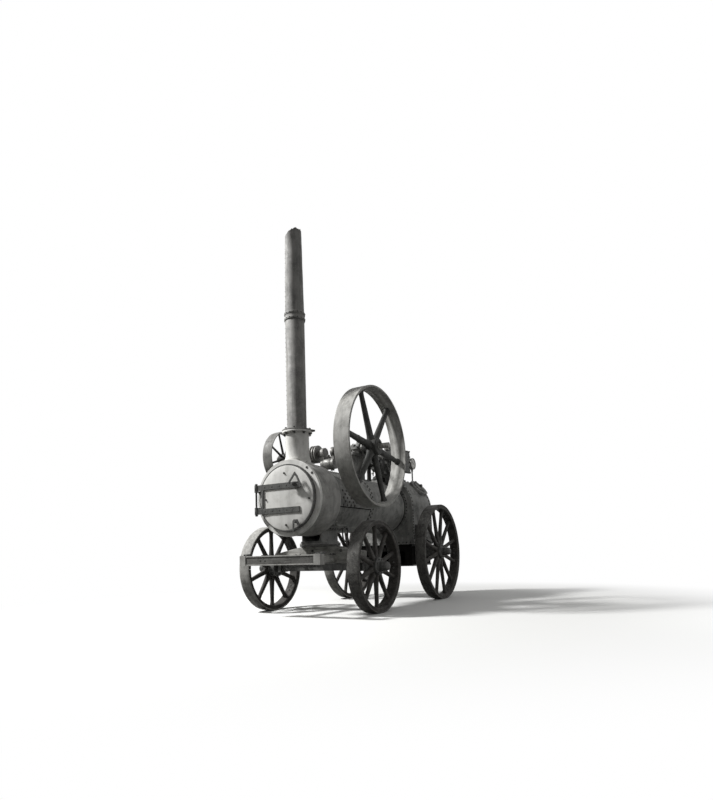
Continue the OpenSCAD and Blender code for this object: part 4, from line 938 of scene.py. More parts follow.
@dataclass
class Chimney:
    """The dented tubes, torn top, seams and flange bolts of the chimney."""

    at: Stations
    sheet: float = 6.0
    torn: float = 26.0
    levels: int = 46
    stations: int = 96
    dent: float = 7.0
    top_r: float = 103.0
    lower_r: float = 120.0
    flange_bolts_r: float = 158.0

    def build(self) -> None:
        """Builds the chimney's dress."""
        self.upper()
        self.seams()
        self.flange()

    def top_edge(self, angle: float, high: Vector) -> float:
        """Gives the height of the torn edge at an angle from +Y.

        Args:
            angle: the angle in radians.
            high: the tube's highest corner.

        Returns:
            The height in millimetres.
        """
        c, s = math.cos(angle), math.sin(angle)
        slope = (1 - c) * self.top_r * math.tan(math.radians(27))
        jag = self.torn * noise.noise(Vector((c * 3.1, s * 3.1, 4.2)))
        fine = self.torn * 0.35 * noise.noise(Vector((c * 11, s * 11, 1.7)))
        return high.z - slope - max(0.0, jag + fine + 9)

    def wall(self, angle: float, z: float, share: float) -> float:
        """Gives how far the sheet is dented at an angle from +Y and a height, share being 0 to 1 up the tube."""
        spot = Vector((math.cos(angle) * 0.9, math.sin(angle) * 0.9, z / 260))
        return self.dent * share * min(0.6, noise.noise(spot)) * 1.2

    def upper(self) -> None:
        """Builds the upper tube with its dents and its torn, open top."""
        low, high = self.at.corners("chimney_upper")
        form = Form("torn_chimney_top")
        foot_r = (high.x - low.x) / 2
        rises = [i / self.levels for i in range(self.levels + 1)]
        rings: list[list[Vector]] = []
        for share, inside in [(s, 0.0) for s in rises] + [(s, self.sheet) for s in reversed(rises)]:
            ring = []
            for angle, _, _ in ring_of(self.stations, 1.0):
                z = low.z + share * (self.top_edge(angle, high) - low.z)
                taper = (self.top_r - foot_r) * (z - low.z) / (high.z - low.z)
                r = foot_r + taper - inside + self.wall(angle, z, share)
                ring.append(Vector((self.at.chimney_x + r * math.sin(angle), r * math.cos(angle), z)))
            rings.append(ring)
        form.loft(rings, closed=True)
        form.dress(SHEET, "chimney", 0.0, ["chimney_upper"])

    def seams(self) -> None:
        """Rivets the tubes' long seams and the collar."""
        at = self.at
        form = Form("chimney_rivets")
        foot = at.corners("chimney_lower")[0].z
        collar_low, collar_high = at.corners("chimney_collar")
        top = at.corners("chimney_upper")[1].z
        tube_foot = collar_high.z - 51
        for angle, z0, z1, narrowing in (
            (2.5, foot + 60, collar_low.z - 30, 0.0),
            (2.3, collar_high.z + 25, top - 260, self.lower_r - self.top_r),
        ):
            out = Vector((math.sin(angle), math.cos(angle), 0))
            for z in spread(z0, z1, round((z1 - z0) / 62) + 1):
                radius = self.lower_r - narrowing * (z - tube_foot) / (top - tube_foot)
                form.domes([facing(Vector((at.chimney_x, 0, z)) + out * (radius - 1), out)], 7.5)
        for _, x, y in ring_of(16, 130.0, 0.1):
            heights = (collar_low.z + 17, collar_high.z - 17)
            form.domes([facing((at.chimney_x + x, y, z), (x, y, 0)) for z in heights], 8)
        form.dress(SHADED_RIVET, "chimney")

    def flange(self) -> None:
        """Bolts the chimney to its base, rivets the base to the smokebox and adds the base's lug."""
        at = self.at
        foot, top = at.corners("chimney_lower")[0].z, at.corners("chimney_base")[1].z
        circle = [(at.chimney_x + x, y) for _, x, y in ring_of(8, self.flange_bolts_r, TAU / 16)]
        nuts = Form("chimney_flange_nuts")
        nuts.bolts([facing((x, y, foot + 44), UP) for x, y in circle], 18)
        nuts.dress(CAST, "chimney")
        heads = Form("chimney_base_bolts")
        heads.bolts([facing((x, y, top - 44), DOWN) for x, y in circle], 18)
        shell_r = at.smokebox_r + 14
        for _, x, y in ring_of(12, 182.0, 0.2):
            if at.chimney_x + x < at.front_x - 58:
                heads.domes([at.on_shell(at.chimney_x + x, math.degrees(math.asin(y / shell_r)), shell_r)], 12)
        heads.dress(SHADED_RIVET)
        lug = Form("flange_lug")
        tongue = [(140, -52), (182, -44), (222, -12), (222, 12), (182, 44), (140, 52)]
        lug.prism(tongue, shift(at.chimney_x, 0, top - 22) @ turn(math.radians(120), "Z"), 18)
        lug.dress(CAST, bevel=2.0)


@dataclass
class RoadWheel:
    """One spoked wooden wheel: felloes, spokes, nave with its bands, and the tyre's bolts."""

    at: Stations
    corner: str
    body: str
    side: Side
    spokes: int
    felloe_deep: float = 46.0
    felloe_wide: float = 138.0
    felloe_ease: float = 9.0
    tyre_t: float = 16.0
    nave_r: float = 109.0
    cap_r: float = 58.0
    joint_gap: float = 3.0
    joint_bolt: float = 39.05
    seed: int = 2
    hub_out: float = 65.0
    hub_in: float = -125.0

    def section(
        self, place: Matrix, distance: float, half_wide: float, half_deep: float, power: float
    ) -> list[Vector]:
        """Gives a rounded square section of a spoke.

        Args:
            place: the spoke's place, Z along it.
            distance: how far along from the nave.
            half_wide: half its width along the axle.
            half_deep: half its depth in the wheel's plane.
            power: how round it is: 1 is an ellipse, smaller is squarer.

        Returns:
            The section's corners.
        """
        points = []
        for _, c, s in ring_of(16, 1.0):
            x = half_wide * math.copysign(abs(c) ** power, c)
            y = half_deep * math.copysign(abs(s) ** power, s)
            points.append(place @ Vector((x, y, self.nave_r + distance)))
        return points

    def build(self) -> None:
        """Builds the wheel in place of its plain node."""
        low, high = self.at.corners(f"tyre_{self.corner}")
        hub = facing((low + high) / 2, self.side.out)
        rim_r = (high.z - low.z) / 2 - self.tyre_t
        rng = random.Random(self.seed + self.spokes + self.side.value)
        form = Form(f"wooden_wheel_{self.corner}")
        half, ease, inner = self.felloe_wide / 2, self.felloe_ease, rim_r - self.felloe_deep
        outer = [(inner + ease, -half), (rim_r, -half), (rim_r, half), (inner + ease, half)]
        felloe = [*outer, (inner, half - ease), (inner, ease - half)]
        count = self.spokes // 2
        gap = self.joint_gap / rim_r / 2
        for i in range(count):
            form.grain_place = turn(rng.uniform(0, 3), "Y") @ shift(0, 0, rng.uniform(0, 3000))
            form.revolve(felloe, hub, 14, (TAU * i / count + gap, TAU * (i + 1) / count - gap))
        length = inner - self.nave_r
        for i in range(self.spokes):
            angle = TAU * (i + 0.5) / self.spokes
            spoke = hub @ turn(angle, "Z") @ turn(QUARTER, "Y") @ turn(QUARTER, "Z")
            form.grain_place = shift(rng.uniform(0, 900), 0, rng.uniform(0, 900)) @ spoke.inverted()
            wobble = rng.uniform(-1.2, 1.2)
            shape = (
                (-14, 33, 31, 0.45),
                (34, 33, 31, 0.45),
                (70, 31, 29, 0.6),
                (0.35 * length, 29, 28 + wobble, 0.9),
                (0.75 * length, 27, 25, 1.0),
                (length - 40, 26, 24, 0.8),
                (length - 18, 28, 27, 0.6),
                (length + 8, 28, 27, 0.6),
            )
            form.loft([self.section(spoke, *row) for row in shape])
        form.dress(OAK, self.body, 2.0, [f"wheel_{self.corner}"])
        self.nave(hub)
        self.tyre_bolts(hub, rim_r, inner, count)

    def nave(self, hub: Matrix) -> None:
        """Turns the cast nave with its bands, flange bolts and hub cap.

        Args:
            hub: the wheel's place.
        """
        form = Form(f"nave_{self.corner}")
        r, lo, hi, c = self.nave_r, self.hub_in, self.hub_out, self.cap_r
        barrel = [
            (0, lo), (r - 10, lo), (r, lo + 8), (r, lo + 34), (r - 8, lo + 39), (r - 10, lo + 60), (r - 5, -34),
            (r, -30), (r, 30), (r - 5, 34), (r - 10, hi - 46), (r - 8, hi - 39), (r, hi - 34), (r, hi - 9), (r - 9, hi),
        ]
        cap = [
            (10, 0), (2, 8), (0, 16), (0, 34), (5, 38), (5, 52), (0, 56),
            (-3, 92), (-10, 108), (-24, 118), (-42, 122), (-c, 122),
        ]
        form.revolve(barrel + [(c + out, hi + along) for out, along in cap], hub, 64)
        form.bolts([hub @ shift(x, y, hi - 1) for _, x, y in ring_of(8, (r + c) / 2 + 3, 0.3)], 13, False)
        form.slab(hub @ shift(c - 4, 0, hi + 45) @ turn(QUARTER, "Y"), (16, 16, 12))
        form.dress(CAST, self.body, 1.2)

    def tyre_bolts(self, hub: Matrix, rim_r: float, inner: float, count: int) -> None:
        """Adds the tyre's bolts on both sides of the felloe joints.

        Args:
            hub: the wheel's place.
            rim_r: the felloes' outer radius.
            inner: the felloes' inner radius.
            count: how many felloes there are.
        """
        form = Form(f"tyre_bolts_{self.corner}")
        for i in range(count):
            for off in (-self.joint_bolt, self.joint_bolt):
                spot = hub @ turn(TAU * i / count + off / rim_r, "Z") @ shift(inner + 1, 0, 0)
                form.bolts([spot @ turn(-QUARTER, "Y")], 13)
        form.dress(CAST, self.body)


@dataclass
class BeltWheels:
    """The flywheel and the belt pulley: rims with a rib inside, spokes, bosses, and the key and bolts in them."""

    at: Stations

    def build(self) -> None:
        """Builds both wheels."""
        self.flywheel()
        self.pulley()

    def measure(self, node: str, side: Side) -> tuple[float, float, Matrix]:
        """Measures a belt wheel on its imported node.

        Args:
            node: the node's name.
            side: the side that its hub faces.

        Returns:
            The wheel's radius, its half width and the place of its hub.
        """
        low, high = self.at.corners(node)
        hub = facing((self.at.crank_x, (low.y + high.y) / 2, self.at.crank_h), side.out)
        return (high.z - low.z) / 2, (high.y - low.y) / 2, hub

    def spoke(self, form: Form, place: Matrix, shape: Sequence[Point]) -> None:
        """Lofts one oval spoke.

        Args:
            form: the wheel's form.
            place: the spoke's place, Z along it.
            shape: the distance, half width and half depth of each section.
        """
        oval = [(math.cos(t), math.sin(t)) for t, _, _ in ring_of(20, 1.0)]
        form.loft([[place @ Vector((a * c, b * s, d)) for c, s in oval] for d, a, b in shape])

    def flywheel(self) -> None:
        """Builds the flywheel: a thin rim with a rib inside it, six swelling spokes and a keyed boss."""
        r, w, hub = self.measure("flywheel", Side.LEFT)
        form = Form("flywheel_rim")
        tread = [(r - 26, -w), (r - 3, -w), (r, 3 - w), (r + 1.5, 0), (r, w - 3), (r - 3, w), (r - 26, w)]
        rib = [(34, 46), (40, 40), (52, 20), (54, 0), (52, -20), (40, -40), (34, -46)]
        form.revolve(tread + [(r - deep, along) for deep, along in rib], hub, 160)
        form.dress(RUBBED, "crank", 1.5, ["flywheel"])
        form = Form("flywheel_spokes")
        boss = [(46, -98), (96, -98), (106, -90), (112, -50), (116, 0), (112, 50), (106, 90), (96, 98), (46, 98)]
        form.revolve(boss, hub, 64)
        end = r - 52
        shape = (
            (98, 62, 64), (120, 50, 56), (150, 44, 48), (200, 42, 45),
            (end - 60, 31, 33), (end - 24, 34, 38), (end + 4, 44, 52),
        )
        for i in range(6):
            place = hub @ turn(-math.radians(188 + 60 * i), "Z") @ turn(QUARTER, "Y")
            self.spoke(form, place, shape)
        form.slab(hub @ shift(0, 46, 60), (22, 16, 62))
        form.dress(WHEEL_IRON, "crank", 1.5)

    def pulley(self) -> None:
        """Builds the belt pulley: a crowned thin rim, round spokes and a split boss."""
        r, w, hub = self.measure("belt_pulley", Side.RIGHT)
        form = Form("pulley_rim")
        tread = [(r - 14, -w), (r - 3, -w), (r, -w / 2), (r + 1, 0), (r, w / 2), (r - 3, w), (r - 14, w)]
        rib = [(16, 18), (26, 14), (27, 0), (26, -14), (16, -18)]
        form.revolve(tread + [(r - deep, along) for deep, along in rib], hub, 120)
        form.dress(WORN, "crank", 1.2, ["belt_pulley"])
        form = Form("pulley_spokes")
        form.revolve([(46, -59), (66, -59), (72, -52), (74, 0), (72, 52), (66, 59), (46, 59)], hub, 48)
        shape = ((64, 22, 22), (84, 17, 17), (r - 70, 13, 13), (r - 34, 14, 14), (r - 20, 19, 19))
        for i in range(8):
            spin = turn(math.pi, "Z") @ turn(math.radians(27 + 45 * i), "Z")
            self.spoke(form, hub @ spin @ turn(QUARTER, "Y"), shape)
        form.bolts([hub @ shift(x, 0, 58) for x in (60, -60)], 14, False)
        form.dress(WHEEL_IRON, "crank", 1.2)


@dataclass
class Engine:
    """Studs, glands, straps, cotters, cups and pipes of the open engine."""

    at: Stations
    cylinder_s: float = 1470.0
    cylinder_l: float = 500.0
    crosshead_s: float = 880.9
    bearing_y: float = 446.0
    pump_y: float = 215.0
    strap_foot_y: float = 166.0
    lid_y: float = 292.0
    lid_half: float = 168.0
    guides_s: tuple[float, float] = (672.0, 1345.0)
    stands_s: tuple[float, float] = (627.0, 1270.0)
    throw: float = 150.0
    eccentric: Point = (36.4, 208.0, 21.0)
    collars_y: Point = (-372.0, 372.0, 524.0)
    pump_flange_h: float = 1900.0

    def build(self) -> None:
        """Dresses the engine from the cylinder to the gauge."""
        self.cylinder()
        self.cocks()
        self.crosshead()
        self.bearings()
        self.rods()
        self.shaft()
        self.pump_and_pipes()
        self.gauge()

    def cylinder(self) -> None:
        """Studs the cylinder's covers, gland and steam chest lid."""
        at = self.at
        front, rear = self.cylinder_s - 30, self.cylinder_s + self.cylinder_l + 30
        ahead = at.on_cylinder(0, 0, 0) - at.on_cylinder(100, 0, 0)
        form = Form("cylinder_studs")
        for _, y, z in ring_of(12, 164.0, 0.26):
            form.bolts([facing(at.on_cylinder(front, y, z), ahead)], 19, False)
            form.bolts([facing(at.on_cylinder(rear, y, z), -ahead)], 19, False)
        form.bolts([facing(at.on_cylinder(front - 106, y, 0), ahead) for y in (-50, 50)], 17)
        lid, half = self.lid_y, self.lid_half
        s0, s1 = self.cylinder_s + 76, self.cylinder_s + self.cylinder_l - 26
        spots = [(s, z) for s in spread(s0, s1, 6) for z in (-half - 2, half + 2)]
        spots += [(s, -half + i * half / 2) for i in range(1, 4) for s in (s0, s1)]
        form.bolts([facing(at.on_cylinder(s, lid, z), Side.LEFT.out) for s, z in spots], 15, False)
        form.dress(CAST)

    def cocks(self) -> None:
        """Hangs the cylinder's drain cocks and stands its oil cup on top."""
        at = self.at
        form = Form("drain_cocks")
        for s in (self.cylinder_s + 30, self.cylinder_s + self.cylinder_l - 30):
            top = at.on_cylinder(s, -120, -100)
            form.tube([top, *(top + Vector((0, y, z)) for y, z in ((-22, -26), (-26, -80), (-26, -112)))], 9)
            form.bar(top + Vector((-20, -26, -66)), top + Vector((20, -26, -66)), 7)
            form.bar(top + Vector((0, -50, -66)), top + Vector((0, -14, -66)), 12)
        cup = [
            (0, 0), (30, 0), (30, 10), (14, 16), (14, 40), (34, 52),
            (38, 70), (38, 104), (30, 112), (8, 118), (0, 128),
        ]
        form.revolve(cup, facing(at.on_cylinder(self.cylinder_s + 250, 0, 158), UP), 28)
        form.dress(BRIGHT, bevel=1.0)

    def crosshead(self) -> None:
        """Caps the crosshead's pin and bolts the slide bars and their stands."""
        at = self.at
        form = Form("crosshead_pin")
        for side in Side:
            place = facing(at.on_cylinder(self.crosshead_s, side.value * 115, 0), side.out)
            form.revolve([(0, -2), (34, -2), (34, 6), (30, 10), (0, 10)], place, 28)
            form.bolts([place @ shift(0, 0, 9)], 20, False)
        form.dress(BRIGHT, bevel=1.0)
        guides = Form("guide_bolts")
        for side in Side:
            for s in self.guides_s:
                for up in (1, -1):
                    normal = at.on_cylinder(0, 0, up) - at.on_cylinder(0, 0, 0)
                    guides.bolts([facing(at.on_cylinder(s, side.value * 94, up * 66), normal)], 18)
        stand_r = at.barrel_r + 12
        for side in Side:
            angle = math.degrees(math.asin(side.value * self.strap_foot_y / stand_r))
            stations = [at.crank_x - stand - back for stand in self.stands_s for back in (122, -12)]
            guides.bolts([at.on_shell(x, angle, stand_r) for x in stations], 16)
        guides.dress(CAST)

    def bearings(self) -> None:
        """Bolts the crank bearings down, with their brackets' feet and stiffening ribs."""
        at = self.at
        form = Form("bearing_bolts")
        ribs = Form("bracket_ribs")
        x, h = at.crank_x, at.crank_h
        for side in Side:
            y = side.value * self.bearing_y
            form.bolts([facing((x + dx, y, h + 16), UP) for dx in (-92, 92)], 22)
            form.bolts([facing((x + dx, y, h - 71), UP) for dx in (-200, 200)], 18)
            feet = [(dx, angle) for dx in (-150, -50, 50, 150) for angle in (49.4, 56.2)]
            form.domes([at.on_shell(x + dx, side.value * angle, at.course_r + 26) for dx, angle in feet], 12)
            cup = [(0, 0), (27, 0), (29, 6), (29, 20), (22, 26), (6, 30), (0, 36)]
            form.revolve(cup, facing((x, y, h + 158), UP), 24)
            for dx in (-64, 64):
                foot = (x + dx * 1.3, side.value * 312, at.boiler_h + 250)
                ribs.tube([foot, (x + dx, y, h - 161), (x + dx, y, h - 91)], 9, 10)
        form.dress(CAST)
        ribs.dress(PLATE)

    def rods(self) -> None:
        """Adds the straps, cotter and oil cup of the connecting rod and the eccentric strap's bolts."""
        at = self.at
        pin = Vector((at.crank_x, 0, at.crank_h - self.throw))
        along = (at.on_cylinder(self.crosshead_s, 0, 0) - pin).normalized()
        up = Vector((along.z, 0, -along.x))
        form = Form("rod_straps")
        place = frame_of(along, Vector(Side.LEFT.out), up, pin)
        for spot, size in (
            ((64, 0, 58), (140, 88, 12)),
            ((64, 0, -70), (140, 88, 12)),
            ((40, 0, -96), (26, 16, 196)),
            ((86, 0, -96), (26, 16, 196)),
        ):
            form.slab(place @ shift(*spot), size)
        form.revolve([(0, 0), (12, 0), (12, 16), (22, 24), (22, 48), (0, 52)], facing(pin + up * 74, up), 20)
        form.dress(BRIGHT, "connecting_rod", 1.0)
        back, y, rise = self.eccentric
        x, z = at.crank_x - back, at.crank_h + rise
        nuts = Form("eccentric_strap_bolts")
        nuts.bolts([facing((x + dx, y, z + way * 149), (0, 0, way)) for dx in (-20, 20) for way in (1, -1)], 13)
        nuts.dress(CAST, "eccentric_rod")

    def shaft(self) -> None:
        """Adds the collars of the crankshaft with their screws."""
        x, h = self.at.crank_x, self.at.crank_h
        form = Form("shaft_collars")
        collar = [(45.2, 0), (62, 0), (66, 4), (66, 24), (62, 28), (45.2, 28)]
        for y in self.collars_y:
            form.revolve(collar, facing((x, y - 14, h), Side.LEFT.out), 40)
            form.bolts([facing((x, y, h + 65), UP)], 12, False)
        form.dress(BRIGHT, "crank", 1.0)

    def pump_and_pipes(self) -> None:
        """Bolts the feed pump's flanges and leads its pipe to the barrel."""
        at = self.at
        low, high = at.corners("feed_pump")
        y = self.pump_y
        form = Form("pump_bolts")
        flange = [(low.x + 252, y + dy, self.pump_flange_h + dz) for _, dy, dz in ring_of(6, 60.0, 0.3)]
        form.bolts([facing(spot, AHEAD) for spot in flange], 12, False)
        form.bolts([facing((low.x + 115, y, high.z), UP)], 22, False)
        form.dress(CAST)
        pipes = Form("copper_pipes")
        start = Vector((low.x + 115, 262, 1898))
        bends = ((0, 0, 0), (0, 34, -4), (0, 52, -40), (-4, 66, -150), (-8, 72, -322))
        pipes.tube([start + Vector(bend) for bend in bends], 13)
        foot = at.on_shell(start.x - 8, math.degrees(math.atan2(334, 185)), at.barrel_r)
        pipes.revolve([(0, -4), (34, -4), (34, 10), (24, 14), (0, 14)], foot, 24)
        pipes.dress(BRIGHT)

    def gauge(self) -> None:
        """Builds the pressure gauge's bezel, dial, ticks and hand."""
        low, high = self.at.corners("pressure_gauge")
        r = (high.x - low.x) / 2
        face = facing(((low.x + high.x) / 2, high.y, high.z - r), Side.LEFT.out)
        bezel = Form("gauge_bezel")
        ring = [(r - 16, -4), (r, -4), (r + 1, 2), (r - 2, 7), (r - 8, 9), (r - 14, 7), (r - 16, 2)]
        bezel.revolve(ring, face, 64)
        bezel.dress(BRIGHT)
        dial = Form("gauge_dial")
        dial.revolve([(0, -1), (r - 15, -1), (r - 15, 2), (0, 2)], face, 48)
        dial.dress(DIAL)
        marks = Form("gauge_marks")
        for i in range(25):
            inset, size = (32, (14, 2.6, 1.6)) if i % 4 == 0 else (26, (8, 1.6, 1.6))
            spin = turn(math.radians(-225 + i * 270 / 24), "Z")
            marks.slab(face @ spin @ shift(r - inset, 0, 1.5), size)
        hand = face @ turn(math.radians(-225), "Z") @ shift(0, 0, 4)
        marks.prism([(-16, -3), (r - 36, -1), (r - 36, 1), (-16, 3)], hand, 1.5)
        marks.revolve([(0, 1), (8, 1), (8, 6), (0, 8)], face, 20)
        marks.dress(SOOT_AND_SHADE)


@dataclass
class ForeCarriage:
    """Timber and ironwork of the steering fore-carriage."""

    at: Stations
    body: str = "forecarriage"
    axle_side: float = 90.0
    clip_t: float = 9.0
    bar_half: float = 573.0
    bar_high: float = 113.0
    bar_deep: float = 84.0
    lug_x: float = 1015.0
    lug_angle: float = 145.0
    clips_y: float = 600.0
    hound_ends_y: tuple[float, float] = (250.0, 330.0)

    def build(self) -> None:
        """Builds the fore-carriage's timbers and irons, and the pedestal's fittings."""
        self.bolster()
        self.splinter_bar()
        self.hounds()
        self.pedestal()
        self.lugs()
        self.loop()

    def bolster(self) -> None:
        """Cuts the bolster timber with its sloping shoulders, and clips it to the axle."""
        low, high = self.at.corners("bolster")
        form = Form("bolster_timber")
        form.grain_place = turn(QUARTER, "X")
        half, mid, end = high.y, 240.0, low.z + 145
        outline = [
            (-half, low.z), (half, low.z), (half, end - 6), (half - 6, end),
            (mid, high.z), (-mid, high.z), (6 - half, end), (-half, end - 6),
        ]
        form.prism(outline, facing((low.x, 0, 0), AHEAD), high.x - low.x)
        form.dress(ASH_WOOD, self.body, 5.0, ["bolster"])
        irons = Form("bolster_irons")
        for y in (-75, 350):
            irons.bolts([facing((x, y, low.z + 160), way) for x, way in ((high.x, AHEAD), (low.x, BACK))], 17)
        t, foot = self.clip_t, low.z - self.axle_side
        for y in (-self.clips_y, self.clips_y):
            for x, face, way in ((low.x - t, low.x - t, BACK), (high.x, high.x + t, AHEAD)):
                irons.box((x, y - 22, foot - t), (x + t, y + 22, low.z + 60))
                irons.bolts([facing((face, y, low.z + 34), way)], 13)
            irons.box((low.x, y - 22, foot - t), (high.x, y + 22, foot))
        irons.dress(CAST, self.body, 1.5)

    def splinter_bar(self) -> None:
        """Builds the splinter bar's timber, straps, bolt heads, draught eyes and pins."""
        low, high = self.at.corners("splinter_bar")
        z_low, z_top = low.z, low.z + self.bar_high
        front, rear, half = high.x, high.x - self.bar_deep, self.bar_half
        form = Form("splinter_bar_timber")
        form.grain_place = turn(QUARTER, "X")
        form.box((rear, -half, z_low + 2), (front - 7, half, z_top - 2))
        form.dress(TARRED, self.body, 4.0)
        straps = Form("splinter_bar_straps")
        for z in (z_low, z_top - 14):
            straps.box((rear + 8, -half + 6, z), (front, half - 6, z + 14))
        for y in (-half, half - 86):
            straps.box((rear - 3, y - 1, z_low - 3), (front + 3, y + 87, z_top + 3))
        straps.dress(RUBBED, self.body, 1.5)
        irons = Form("splinter_bar_irons")
        eye = [(14.5, 0), (36, 0), (36, 22), (33, 25), (14.5, 25)]
        pin = [(0, 0), (13, 0), (13, 20), (22, 28), (22, 44), (13, 52), (0, 54)]
        for side in Side:
            y = side.value * (half - 35)
            irons.box((rear - 46, y - 34, z_top + 1), (front - 4, y + 34, z_top + 8))
            irons.revolve(eye, facing((rear - 46, y, z_top), UP), 32)
            irons.bolts([facing((x, y - side.value * 22, z_top + 8), UP) for x in (rear + 18, front - 22)], 13)
        irons.domes([facing((front - 7, y, z_low + 58), AHEAD) for y in (-270, -201)], 11)
        for y in (100, 413):
            irons.revolve(pin, facing((front - 40, y, z_low), DOWN), 24)
        irons.dress(CAST, self.body, 1.5, ["splinter_bar"])

    def hounds(self) -> None:
        """Cuts the two hounds with their end plates and bolts, their grain moved so that no two timbers match."""
        for side, node in ((Side.LEFT, "hound_l"), (Side.RIGHT, "hound_r")):
            low, high = self.at.corners(node)
            ends = zip((low.x, high.x), self.hound_ends_y)
            back, front = (Vector((x, side.value * y, low.z)) for x, y in ends)
            along, up = (front - back).normalized(), Vector(UP)
            place = frame_of(along, up.cross(along), up, (back + front) / 2)
            form = Form(f"{node}_timber")
            length, tall, moved = (front - back).length, high.z - low.z, 700.0 * side.value
            form.grain_place = shift(moved, 0, moved) @ turn(-QUARTER, "Y") @ place.inverted()
            form.slab(place, (length, 68, tall))
            form.dress(ASH_WOOD, self.body, 4.0, [node])
            irons = Form(f"{node}_plates")
            for x, span in ((length / 2 - 90, 170), (60 - length / 2, 130)):
                spot = place @ shift(x, 0, tall)
                irons.slab(spot, (span, 60, 7))
                irons.bolts([spot @ shift(dx, 0, 7) for dx in (26 - span / 2, span / 2 - 26)], 14)
            irons.dress(CAST, self.body, 1.5)

    def ends(self) -> tuple[float, float, float]:
        """Gives the stations of the pedestal's back and front, and the height of its foot."""
        middle = self.at.front_axle_x
        return middle - 194, middle + 194, self.at.corners("turntable")[1].z + 20.3

    def pedestal(self) -> None:
        """Rivets the pedestal's plates to the barrel and its back plate along the foot."""
        back, front, foot = self.ends()
        r = self.at.course_r + 16
        form = Form("pedestal_rivets")
        for side in Side:
            seam = [(back - 30 + i * 57, 151) for i in range(8)] + [(back - 30, 145), (front - 27, 145)]
            form.domes([self.at.on_shell(x, side.value * angle, r) for x, angle in seam], 12)
        form.domes([facing((back, y, foot + 50), BACK) for y in (-110, -40, 40, 110)], 12)
        form.dress(SHADED_RIVET)

    def lugs(self) -> None:
        """Wraps a bolted lug round the barrel on each side of the pedestal."""
        form = Form("pedestal_lugs")
        r = self.at.course_r
        outline = [(-78, -24), (78, -24), (78, 30), (62, 62), (36, 80), (0, 87), (-36, 80), (-62, 62), (-78, 30)]
        for side in Side:

            def spot(along: float, round_: float, up: float, side: Side = side) -> Matrix:
                """Gives a place on the barrel, so far along, round and above it from the lug's root."""
                angle = side.value * (self.lug_angle - math.degrees(round_ / r))
                return self.at.on_shell(self.lug_x + along, angle, r + up)

            form.loft([[spot(u, v, up).translation for u, v in outline] for up in (-3, 15)])
            form.bolts([spot(u, 42, 14) for u in (-34, 34)], 19)
        form.dress(PLATE, bevel=2.0)

    def loop(self) -> None:
        """Hangs a loop behind the pedestal."""
        back, _, foot = self.ends()
        form = Form("pedestal_loop")
        x, y, z, half = back - 74, 214.0, foot + 150, 62
        arch = [(x - half * math.cos(t), y, z - 40 - half * math.sin(t) * 1.5) for t in spread(0, math.pi, 13)]
        form.tube([(x - half, y, z + 36), *arch, (x + half, y, z + 36)], 10)
        for dx in (-half, half):
            form.revolve([(0, -10), (19, -10), (21, 0), (17, 10), (0, 10)], facing((x + dx, y, z + 30), UP), 20)
        form.dress(CAST)


